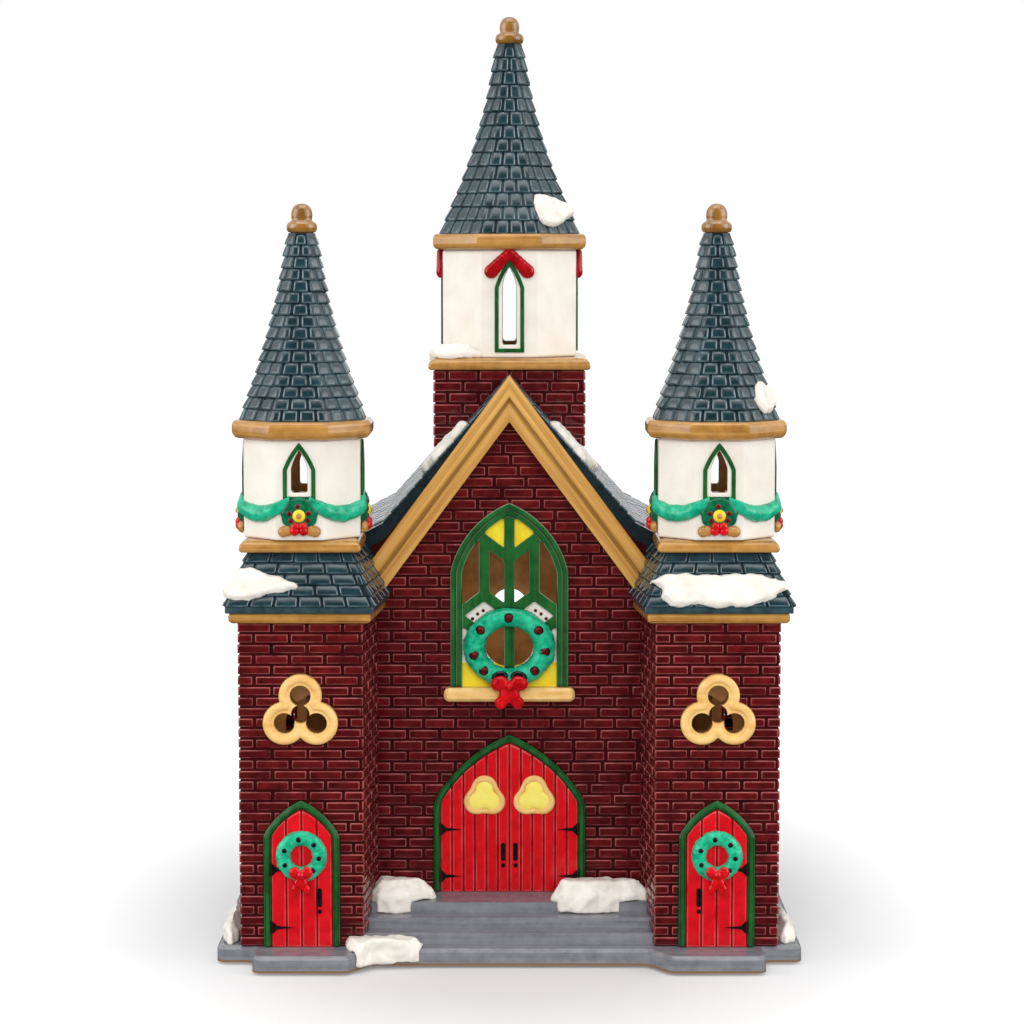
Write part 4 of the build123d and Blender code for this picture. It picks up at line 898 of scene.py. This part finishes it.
def blob(name, lumps, material, slot, voxel, smooth=4, turns=(0,), axis=Vector()):
    """Melts ellipsoids into one moulded form, once for each of the turns about an upright axis.

    A lump is its centre, its radii and its turn in degrees about Y."""
    clay = Clay()
    for (centre, radii, turn), swing in itertools.product(lumps, turns):
        spin = Matrix.Rotation(math.radians(turn), 3, "Y")
        round_axis = Matrix.Rotation(math.radians(swing), 3, "Z")

        def point(polar, angle):
            flat = (math.sin(polar) * math.cos(angle), math.sin(polar) * math.sin(angle))
            local = Vector((radii[0] * flat[0], radii[1] * flat[1], radii[2] * math.cos(polar)))
            return axis + round_axis @ (Vector(centre) - axis + spin @ local)

        clay.skin([math.pi * j / 12 for j in range(1, 12)], circle(20), point)
    made = clay.piece(name, material, slot)
    melt(made, voxel)
    soften(made, smooth, 0.6)
    return made


# Rings of a bead from its foot up: the share of a quarter turn, and how deep the ring is sunk
DOME = ((0.0, 0.5), (0.0, 0.0), (0.35, 0.0), (0.7, 0.0), (0.92, 0.0))


def dome_dots(clay, spots, radius, rise, out=FRONT):
    """Round beads on a face: spots are their centres, out the way they stand."""
    side = out.orthogonal().normalized()
    other = out.cross(side)
    for spot in spots:

        def point(ring, angle):
            turn = ring[0] * math.pi / 2
            reach = radius * math.cos(turn)
            around = side * reach * math.cos(angle), other * reach * math.sin(angle)
            return spot + around[0] + around[1] + out * (rise * math.sin(turn)) - out * ring[1]

        clay.skin(DOME, circle(12), point)


def beads(name, spots, radius, rise, material, slot):
    """A piece made of beads that face the viewer."""
    clay = Clay()
    dome_dots(clay, spots, radius, rise)
    clay.piece(name, material, slot)


def bow_lumps(x, low, high, width, depth):
    """The ellipsoids of a tied ribbon bow that faces the viewer, between two corners."""
    tall = high.z - low.z
    knot = high.z - 0.35 * tall
    y = (low.y + high.y) / 2
    lumps = [
        ((x, y - depth * 0.5, knot + tall * 0.02), (width * 0.12, depth, tall * 0.13), 0),
        ((x, y, knot - tall * 0.2), (width * 0.15, depth * 0.7, tall * 0.28), 0),
    ]
    for side in SIDES.values():
        loop = (x + side * width * 0.26, y, knot + tall * 0.1)
        lumps.append((loop, (width * 0.26, depth, tall * 0.22), side * 12))
        tail = (x + side * width * 0.14, y, knot - tall * 0.24)
        lumps.append((tail, (width * 0.15, depth * 0.85, tall * 0.26), side * -16))
        end = (x + side * width * 0.23, y, knot - tall * 0.46)
        lumps.append((end, (width * 0.18, depth * 0.75, tall * 0.19), side * -16))
    return lumps


def wreath_ring(name, middle, radii, hole, depth, phase):
    """A wreath of brushed leaves: a lumpy oval ring with a flat back on the wall."""

    def point(angle, turn):
        across, up = math.cos(angle), math.sin(angle)
        ruffle = noise.noise(Vector((across * 4 + phase, up * 4, turn * 1.6)))
        fine = noise.noise(Vector((across * 14, up * 14 + phase, turn * 3.5)))
        swell = 1 + 0.1 * ruffle + 0.1 * fine
        reach = (1 + hole) / 2 - (1 - hole) / 2 * math.cos(turn) * swell
        height = depth * max(0.0, math.sin(turn)) ** 0.75 * swell
        return middle + Vector((radii[0] * across, 0, radii[1] * up)) * reach + FRONT * height

    clay = Clay()
    clay.skin([*circle(120), 0.0], [math.pi * j / 13 for j in range(14)], point, False)
    return clay.piece(name, leaf_glaze, "wreath_glaze")


def on_wreath(centre, radii, y, angles):
    """Spots on the front of a wreath, at angles in degrees."""
    turns = [math.radians(angle) for angle in angles]
    return [
        Vector((centre.x + radii[0] * math.cos(turn), y, centre.z + radii[1] * math.sin(turn)))
        for turn in turns
    ]


WINDOW_BERRIES = (91, 36, -5, -45, -135, -168, 143)
DOOR_BERRIES = (98, 44, -4, -48, 206, 158)
BOW_VOXEL = 0.35
SMALL_BOW_VOXEL = 0.3


def window_greens():
    """The wreath, its berries and the bow under the great window."""
    low, high = box("window_wreath")
    bow_low, bow_high = box("window_bow")
    centre = (low + high) / 2
    radii = ((high.x - low.x) / 2, (high.z - low.z) / 2)
    middle = Vector((centre.x, high.y, centre.z))
    ring = wreath_ring("great_wreath", middle, radii, 0.52, high.y - low.y - 0.4, 1.0)
    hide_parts("window_wreath")
    berry_radii = [0.78 * radius for radius in radii]
    spots = on_wreath(centre, berry_radii, low.y + 0.7, WINDOW_BERRIES)
    beads("great_wreath_collars", spots, 2.1, 0.7, black_glaze, "black_glaze")
    raised = [spot + FRONT * 0.2 for spot in spots]
    beads("great_wreath_berries", raised, 1.6, 1.3, berry_glaze, "red_glaze")
    cones = [
        ((centre.x + side * 3.9, low.y, bow_high.z - 1.2), (3.6, 1.5, 2.6), side * 10)
        for side in SIDES.values()
    ]
    blob("great_bow_cones", cones, black_glaze, "black_glaze", BOW_VOXEL)
    lumps = bow_lumps(centre.x, bow_low, bow_high, bow_high.x - bow_low.x, 2.3)
    made = blob("great_bow", lumps, bow_glaze, "red_glaze", BOW_VOXEL)
    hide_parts("window_bow")


def door_greens():
    """Wreaths, berries and bows on the small tower doors."""
    low, high = box("side_door_wreaths")
    bow_low, bow_high = box("side_door_bows")
    radius = (high.z - low.z) / 2
    bow_width = 2 * (bow_high.x - tower_x)
    for name, side in SIDES.items():
        centre = Vector((side * tower_x, high.y, (low.z + high.z) / 2))
        depth = high.y - low.y - 0.3
        ring = wreath_ring(f"{name}_door_wreath", centre, (radius, radius), 0.41, depth, 3.0 + side)
        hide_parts("side_door_wreaths")
        spots = on_wreath(centre, (0.7 * radius,) * 2, low.y + 0.55, DOOR_BERRIES)
        beads(f"{name}_door_berries", spots, 1.15, 0.7, black_glaze, "black_glaze")
        lumps = bow_lumps(centre.x, bow_low, bow_high, bow_width, 1.5)
        made = blob(f"{name}_door_bow", lumps, bow_glaze, "red_glaze", SMALL_BOW_VOXEL)
        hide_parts("side_door_bows")


def belfry_drapes():
    """Red cloth swept from under the belfry's cornice over each of its four lancets."""
    low, high = box("belfry_bows")
    face = belfry_drum_low.y
    end_x = max(p.x for p in vertices("belfry_bows") if p.y < face - 0.5 and p.z < low.z + 3) - 2.6
    start_z = high.z - 1.2
    end_z = low.z + 2.9
    lumps = []
    for side, share in itertools.product(SIDES.values(), (0.05, 0.25, 0.45, 0.65, 0.85, 1.0)):
        size = 2.2 + 0.9 * share
        spot = (side * end_x * share, face - 0.9, start_z + (end_z - start_z) * share)
        lumps.append((spot, (size, 2.1, size), 0))
    axis = Vector((0, belfry_y, 0))
    made = blob("belfry_drapes", lumps, drape_glaze, "red_glaze", BOW_VOXEL, 4, QUARTERS, axis)
    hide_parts("belfry_bows")


# Reach and height of a turned finial, as shares: a bulging collar, then a domed thimble
FINIAL_PROFILE = (
    ((0.70, 0.0), (0.90, 0.04), (0.98, 0.12), (1.0, 0.2), (0.97, 0.29), (0.86, 0.36), (0.72, 0.4))
    + ((0.66, 0.44), (0.69, 0.52), (0.70, 0.62), (0.67, 0.73), (0.6, 0.83), (0.47, 0.92))
    + ((0.3, 0.975), (0.1, 1.0))
)


def turned_finial(node):
    """A turned gold finial in the place of its plainer solid."""
    low, high = box(node)
    radius = (high.x - low.x) / 2
    centre = (low + high) / 2

    def point(step, angle):
        level = Vector((centre.x, centre.y, low.z + (high.z - low.z) * step[1]))
        return level + Vector((math.cos(angle), math.sin(angle), 0)) * radius * step[0]

    clay = Clay()
    clay.skin(FINIAL_PROFILE, circle(40), point)
    made = clay.piece(node.replace("finial", "gold_knob"), finial_glaze, "gold_glaze")
    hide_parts(node)


SWAG_SAG = 5.4
SWAG_SPREAD = 36


def turret_swags(name, side):
    """Swags of green round a turret, thickest in their middles."""
    top_z = box(f"{name}_turret_garland")[1].z - 2.2
    clay = Clay()
    for middle_turn in (45, 135, 225, 315):

        def point(share, angle):
            degrees = middle_turn + SWAG_SPREAD * share
            turn = math.radians(degrees)
            face = math.radians(round(degrees / 45) * 45)
            flat_reach = turret_half / max(0.93, math.cos(turn - face))
            belly = 1 - share**2
            out = compass(turn)[0]
            ruffle = 1 + 0.16 * noise.noise(Vector((turn * 7, angle * 1.2, side * 3.0)))
            reach = flat_reach + 0.7 + (2.3 - 1.2 * share**4) * math.cos(angle) * ruffle
            height = top_z - SWAG_SAG * belly + (2.3 + 1.1 * belly) * math.sin(angle) * ruffle
            return Vector((side * tower_x, tower_y, 0)) + out * reach + UP * height

        clay.skin([i / 30 * 2 - 1 for i in range(31)], circle(14), point)
    made = clay.piece(f"{name}_turret_swags", swag_glaze, "wreath_glaze")
    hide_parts(f"{name}_turret_garland")


ROSETTE_RADIUS = 7.4
ROSETTE_STEPS = ((1.0, -0.3), (1.0, 1.2), (0.92, 2.1), (0.7, 2.6), (0.35, 2.7), (0.08, 2.7))
ROSETTE_PIECES = {
    "rosettes": (rosette_glaze, "wreath_glaze"),
    "rosette_flowers": (yellow_glaze, "yellow_glaze"),
    "rosette_hearts": (gold_glaze, "gold_glaze"),
    "rosette_berries": (berry_glaze, "red_glaze"),
    "rosette_bells": (gold_glaze, "gold_glaze"),
    "rosette_ribbons": (bow_glaze, "red_glaze"),
}


def turret_rosettes(name, side):
    """A rosette with a flower, berries, two bells and a ribbon between the swags of a turret."""
    clays = {part: Clay() for part in ROSETTE_PIECES}
    low_z = box(f"{name}_turret_garland")[0].z
    for quarter in QUARTERS:
        out, across = compass(math.radians(quarter))
        centre = Vector((side * tower_x, tower_y, 0)) + out * turret_half + UP * (low_z + 7.0)

        def point(step, angle):
            reach = ROSETTE_RADIUS * step[0] * (1 + 0.03 * math.sin(9 * angle))
            rise = UP * reach * math.sin(angle) * 0.92
            return centre + across * reach * math.cos(angle) + rise + out * step[1]

        clays["rosettes"].skin(ROSETTE_STEPS, circle(36), point)
        front = centre + out * 2.5
        flower = front + UP * -0.6
        dome_dots(clays["rosette_flowers"], [flower], 2.7, 1.3, out)
        dome_dots(clays["rosette_hearts"], [flower + out * 0.9], 1.3, 0.9, out)
        berries = [
            front + across * 3.9 * math.cos(a) + UP * (3.7 * math.sin(a) - 0.5)
            for a in (1.7, 0.25, 2.9, -0.5, 3.7)
        ]
        dome_dots(clays["rosette_berries"], berries, 1.15, 0.6, out)
        for wing in SIDES.values():
            bell = centre + across * wing * 6.3 + UP * -7.0 + out * 1.0
            bells = [bell, bell + across * wing * -1.8 + UP * 0.4]
            dome_dots(clays["rosette_bells"], bells, 2.3, 1.9, out)
            lobe = front + across * wing * 1.5 + UP * -5.0
            ribbon = [lobe, lobe + UP * -1.6 + across * wing * 0.3]
            dome_dots(clays["rosette_ribbons"], ribbon, 2.0, 1.7, out)
    for part, (material, slot) in ROSETTE_PIECES.items():
        clays[part].piece(f"{name}_{part}", material, slot)


# Lumps of the snow: how close together, and how high
SNOW_LUMPS = ((0.16, 1.1), (0.42, 0.55))
SNOW_VOXEL = 0.7


def lumpy_snow(node, material):
    """Drifts of modelled snow in the place of their plain solids."""
    mesh = nodes[node].data.copy()
    made = put(node.replace("snow", "snowdrifts"), mesh)
    mesh.materials.clear()
    mesh.materials.append(material)
    melt(made, SNOW_VOXEL)
    bpy.context.view_layer.update()
    graph = bpy.context.evaluated_depsgraph_get()
    shaped = bpy.data.meshes.new_from_object(made.evaluated_get(graph))
    made.modifiers.clear()
    made.data = shaped
    for v in shaped.vertices:
        spot = v.co / MM
        lump = sum(noise.noise(spot * pitch) * rise for pitch, rise in SNOW_LUMPS)
        v.co += v.normal * lump * MM
    soften(made, 3, 0.5)
    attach(made, "house")
    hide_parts(node)


# Panes, doors and what is on them


def pane_dots():
    """Red dots painted on the white panes beside the wreath."""
    places = itertools.product(SIDES.values(), ((15.2, 28.2), (13.1, 30.2), (10.8, 31.6)))
    spots = [Vector((side * x, nave_front_y, window_low.z + rise)) for side, (x, rise) in places]
    beads("pane_dots", spots, 0.75, 0.4, berry_glaze, "red_glaze")


RIM_BEAD = 1.7


def trefoil_rims():
    """A rounded gold bead along the edge of each tower's trefoil frame."""
    track = lobe_radius - RIM_BEAD
    lumps = []
    for side, lobe in itertools.product(SIDES.values(), lobes()):
        others = [other for other in lobes() if other != lobe]
        heading = math.atan2(lobe[1], lobe[0])
        for k in range(-22, 23):
            turn = heading + math.radians(k * 6.2)
            x = lobe[0] + track * math.cos(turn)
            rise = lobe[1] + track * math.sin(turn)
            if all(math.hypot(x - a, rise - b) > track - 0.1 for a, b in others):
                spot = (side * tower_x + x, trefoil_low.y + 0.2, trefoil_z + rise)
                lumps.append((spot, (RIM_BEAD, 1.3, RIM_BEAD), 0))
    blob("trefoil_rims", lumps, pale_gold, "gold_glaze", 0.4, 3)


def soft_trefoil(clay, centre, size, swell, pinch, profile):
    """A plaque in the form of a soft trefoil: profile holds the share and height of its steps."""

    def point(step, angle):
        turn = 3 * (angle - math.pi / 2)
        reach = size * (1 + swell * math.cos(turn) - pinch * math.cos(2 * turn)) * step[0]
        return centre + Vector((reach * math.cos(angle), -step[1], reach * math.sin(angle)))

    clay.skin(profile, circle(72), point)


TREFOIL_FRAME = ((1.0, -0.4), (1.02, 0.7), (0.97, 1.3), (0.88, 1.5), (0.76, 1.35), (0.7, 0.8), (0.66, 0.3))
TREFOIL_LIGHT = ((1.0, -0.3), (1.0, 0.9), (0.9, 1.25), (0.5, 1.4), (0.1, 1.4))


def door_trefoils():
    """Gold-edged yellow trefoils on the main doors."""
    low, high = box("main_door_trefoils")
    frames = Clay()
    lights = Clay()
    for side in SIDES.values():
        centre = Vector((side * (high.x - 8.6), high.y, low.z + (high.z - low.z) * 0.45))
        soft_trefoil(frames, centre, 8.0, 0.135, 0.015, TREFOIL_FRAME)
        soft_trefoil(lights, centre, 5.9, 0.2, 0.04, TREFOIL_LIGHT)
    made = frames.piece("door_trefoil_frames", pale_gold, "gold_glaze")
    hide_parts("main_door_trefoils")
    lights.piece("door_trefoil_lights", door_yellow, "yellow_glaze")


PLANK_GAP = 0.5
PLANK_RISE = 0.5
PLANK_SHORT = 0.4
PLANK_EDGES = (0.7, 0.02)


def door_planks(node, frame_node, jamb_share):
    """Upright planks with rounded edges over a door's leaf."""
    low, high = box(node)
    frame_low, frame_high = box(frame_node)
    jamb = (frame_high.z - frame_low.z) * jamb_share
    width = high.x - low.x
    arch = (width, jamb, high.z - low.z - jamb, ARCH_BULGE)
    count = round(width / PLANK_WIDTH / 2) * 2
    pitch = width / count
    middle = (low.x + high.x) / 2

    def place(s, t, h):
        return Vector((middle + s, low.y - h, low.z + t * (arch_top(arch, s) - PLANK_SHORT)))

    clay = Clay()
    for k in range(count):
        start = k * pitch - width / 2 + PLANK_GAP / 2
        ends = (start, start + pitch - PLANK_GAP)
        tile(clay, place, ends, (0.0, 1.0), PLANK_RISE, PLANK_EDGES, 0.0, 1)
    clay.piece(f"{node}_planks", plank_glaze, "red_glaze")


# Everything in its place
WALL_SKIN = 1.0
DRUM_SKIN = 0.6

for name, side in SIDES.items():
    tower_bricks(name, side)
    skirt_slates(name, side)
    spire_slates(f"{name}_turret_spire", TURRET_SLATE)
    turret_swags(name, side)
    turret_rosettes(name, side)
    turned_finial(f"{name}_turret_finial")
    door_planks(f"{name}_door", f"{name}_door_frame", SIDE_JAMB)
    middle = (side * tower_x, tower_y)
    walls = inner_material(f"{name}_tower_mortar", MORTAR, middle, tower_half - WALL_SKIN)
    dress(walls, f"{name}_tower_walls")
    drum = inner_material(f"{name}_drum_glaze", WHITE, middle, turret_half - DRUM_SKIN, octagonal=True)
    dress(drum, f"{name}_turret_drum")

nave_bricks()
belfry_bricks()
roof_slates()
spire_slates("belfry_spire", BELFRY_SLATE)
window_greens()
door_greens()
door_trefoils()
pane_dots()
trefoil_rims()
door_planks("main_doors", "main_door_frame", MAIN_JAMB)
belfry_drapes()
turned_finial("belfry_finial")
snow_finish = snow_material()
lumpy_snow("roof_snow", snow_finish)
lumpy_snow("base_snow", snow_finish)

nave_middle = (0, (nave_front_y + nave_back_y) / 2)
nave_depth = (nave_back_y - nave_front_y) / 2 - WALL_SKIN
dress(inner_material("nave_mortar", MORTAR, nave_middle, nave_half - WALL_SKIN, nave_depth), "nave_walls")
belfry_reach = (belfry_drum_high.x - belfry_drum_low.x) / 2 - DRUM_SKIN
belfry_glaze = inner_material("belfry_drum_glaze", WHITE, (0, belfry_y), belfry_reach, octagonal=True)
dress(belfry_glaze, "belfry_drum")
dress(mortar_glaze, "belfry_walls")
dress(gap_glaze, "nave_roof", "belfry_spire", *both("turret_spire", "aisle_roof"))
dress(skirt_material(), *both("tower_skirt"))
gold_edges = ["belfry_ledge", "belfry_cornice", *both("tower_eave", "turret_ledge", "turret_cornice")]
dress(gold_glaze, *gold_edges)
dress(gable_material(), "gable_trim")
dress(pale_gold, "window_sill", "tower_trefoils")
dress(green_glaze, "window_tracery")
door_frames = ["main_door_frame", *both("door_frame")]
dress(frame_glaze, "belfry_window_trims", "turret_window_trims", *door_frames)
dress(pane_material(), "window_panes")
dress(seam_glaze, "main_doors", *both("door"))
dress(black_glaze, "door_ironwork")
dress(base_material(), "base_plinth")
dress(felt_finish(), "felt_pads")
dress(plain_plastic("tray_plastic", (42, 42, 44), (30, 30, 32), 0.45), "light_tray", "battery_door")
dress(plain_plastic("knob_plastic", (196, 196, 194), (176, 176, 174), 0.4), "switch_knob")
dress(plain_plastic("board_resin", (34, 98, 62), (24, 74, 46), 0.35), "led_board")
dress(lamp_finish(), "led_lamp")
dress(metal_finish("cell_sleeve", (92, 94, 104), (66, 68, 78), 0.3), "battery_cells")
dress(metal_finish("contact_spring", (206, 206, 202), (170, 170, 168), 0.25), "battery_contacts")

round_off(1.6, "belfry_drum", *both("turret_drum"))
round_off(1.2, *gold_edges)
round_off(1.0, "base_plinth", *both("tower_skirt"))
round_off(0.7, "gable_trim", "window_sill", "tower_trefoils")
round_off(0.7, "window_tracery", *door_frames, clamped=False)
round_off(0.3, "belfry_window_trims", "turret_window_trims", "door_ironwork")
round_off(0.25, "main_doors", *both("door"))

# Studio, in metres: white surroundings, a soft key from above, a panel on each side, a dark card in front
scene.view_settings.view_transform = "Standard"


def studio_world():
    """Surroundings that are white where they are seen or mirrored, and dimmer as a light."""
    world = bpy.data.worlds.new("studio")
    scene.world = world
    world.use_nodes = True
    world.node_tree.nodes.clear()
    shading = Shading(world.node_tree)
    seen = shading.add("LightPath").outputs
    direct = shading.maths("MAXIMUM", seen["Is Camera Ray"], seen["Is Glossy Ray"])
    direct = shading.maths("MAXIMUM", direct, seen["Is Transmission Ray"])
    dim, white = (
        shading.add("Background", {"Color": (255, 255, 255), "Strength": strength}).outputs[0]
        for strength in (0.45, 1.0)
    )
    shading.add("OutputWorld", {"Surface": shading.blend(direct, dim, white)})


def plate(name, width, depth, place, turn, material):
    """A flat sheet of the studio."""
    mesh = bpy.data.meshes.new(name)
    corners = [(x * width / 2, y * depth / 2, 0) for x, y in ((-1, -1), (1, -1), (1, 1), (-1, 1))]
    mesh.from_pydata(corners, [], [(0, 1, 2, 3)])
    mesh.materials.append(material)
    made = put(name, mesh)
    made.location = place
    made.rotation_euler = turn
    return made


def floor_material():
    """White paper that takes the shadow, with a painted shadow round the object where its glow is weaker,
    fading out to white; it mirrors dark, all only from above.
    """
    paint = Paint("floor_white")
    seen = paint.add("LightPath").outputs
    below = paint.add("NewGeometry").outputs["Backfacing"]
    paper = paint.add("BsdfDiffuse")
    paper.inputs["Color"].default_value = (0.6, 0.6, 0.6, 1)
    # Painted shadow: the glow grows with the distance from the object, faster along X, so the floor is darker
    # round and in front of it
    widen = paint.add("Mapping", {"Vector": paint.coordinates["Object"]})
    widen.inputs["Scale"].default_value = (1.6, 1.0, 1.0)
    far = paint.add("VectorMath", {0: widen.outputs[0]}, operation="LENGTH").outputs["Value"]
    limits = {"From Min": 0.13, "From Max": 0.45, "To Min": 0.13, "To Max": 0.8}
    shadow_fade = paint.add("MapRange", {"Value": far, **limits}).outputs["Result"]
    glow = paint.add("Emission", {"Strength": shadow_fade})
    sweep = paint.add("AddShader", {0: paper.outputs[0], 1: glow.outputs[0]})
    dark = paint.add("Emission", {"Strength": 0.06})
    surface = paint.add("BsdfTransparent").outputs[0]
    for ray, shade in (("Is Camera Ray", sweep), ("Is Glossy Ray", dark)):
        share = paint.add("Math", {0: seen[ray], 1: below}, operation="SUBTRACT", use_clamp=True)
        surface = paint.blend(share.outputs[0], surface, shade.outputs[0])
    paint.feed(paint.tree.nodes["Material Output"].inputs["Surface"], surface)
    paint.tree.nodes.remove(paint.shader)
    return paint.material


def dark_card():
    """A black card that only the glaze mirrors."""
    paint = Paint("card_black")
    paint.shader.inputs["Base Color"].default_value = (0.02, 0.02, 0.02, 1)
    paint.set("Roughness", 0.9)
    card = plate("front_card", 3.4, 4.4, (0, -2.4, 1.6), (math.radians(90), 0, 0), paint.material)
    card.visible_camera = False
    card.visible_shadow = False
    card.visible_diffuse = False


def lamp(name, kind, place, power):
    """A studio light."""
    light = bpy.data.lights.new(name, kind)
    light.energy = power
    made = put(name, light)
    made.location = place
    return made


def panel(name, place, aim, width, height, power, mirrored=True):
    """A soft panel of light turned to what it aims at."""
    made = lamp(name, "AREA", place, power)
    made.data.shape = "RECTANGLE"
    made.data.size = width
    made.data.size_y = height
    made.rotation_euler = (Vector(aim) - Vector(place)).to_track_quat("-Z", "Y").to_euler()
    made.visible_glossy = mirrored


def inner_glow(name, x, y, z, power):
    """A faint warm light inside a hollow, as daylight and the lamp leave there."""
    made = lamp(name, "POINT", Vector((x, y, z)) * MM, power)
    made.data.color = (1.0, 0.86, 0.68)
    made.data.shadow_soft_size = 0.008
    made.visible_camera = False
    made.visible_glossy = False


studio_world()
plate("floor", 12.0, 12.0, (0, 0, -0.0002), (0, 0, 0), floor_material())
dark_card()
for name, side in SIDES.items():
    panel(f"{name}_panel", (side * 1.25, -0.35, 0.55), (0, -0.05, 0.2), 0.9, 1.3, 7.0)
panel("front_key", (-0.35, -1.6, 1.25), (0, 0, 0.18), 0.7, 0.5, 7.0, False)
panel("front_fill", (0.1, -1.7, 0.55), (0, 0, 0.18), 1.1, 0.8, 13.0, False)
panel("top_panel", (0, -0.15, 1.5), (0, 0, 0.2), 1.2, 1.0, 6.0)
inner_glow("nave_glow", 0, belfry_y, 120, 0.12)
for side in SIDES.values():
    inner_glow("tower_glow", side * tower_x, tower_y, 100, 0.02)
    inner_glow("turret_glow", side * tower_x, tower_y, drum_high.z - 6, 0.008)
inner_glow("belfry_glow", 0, belfry_y, belfry_drum_high.z - 6, 0.008)

# Camera at the photograph's viewing angle
view = put("camera", bpy.data.cameras.new("camera"))
view.data.sensor_width = 36.0
view.data.lens = 94.92
view.data.clip_start = 0.05
view.location = (0.0011, -1.151, 0.286)
view.rotation_euler = (math.radians(84.5), 0, 0)
scene.camera = view
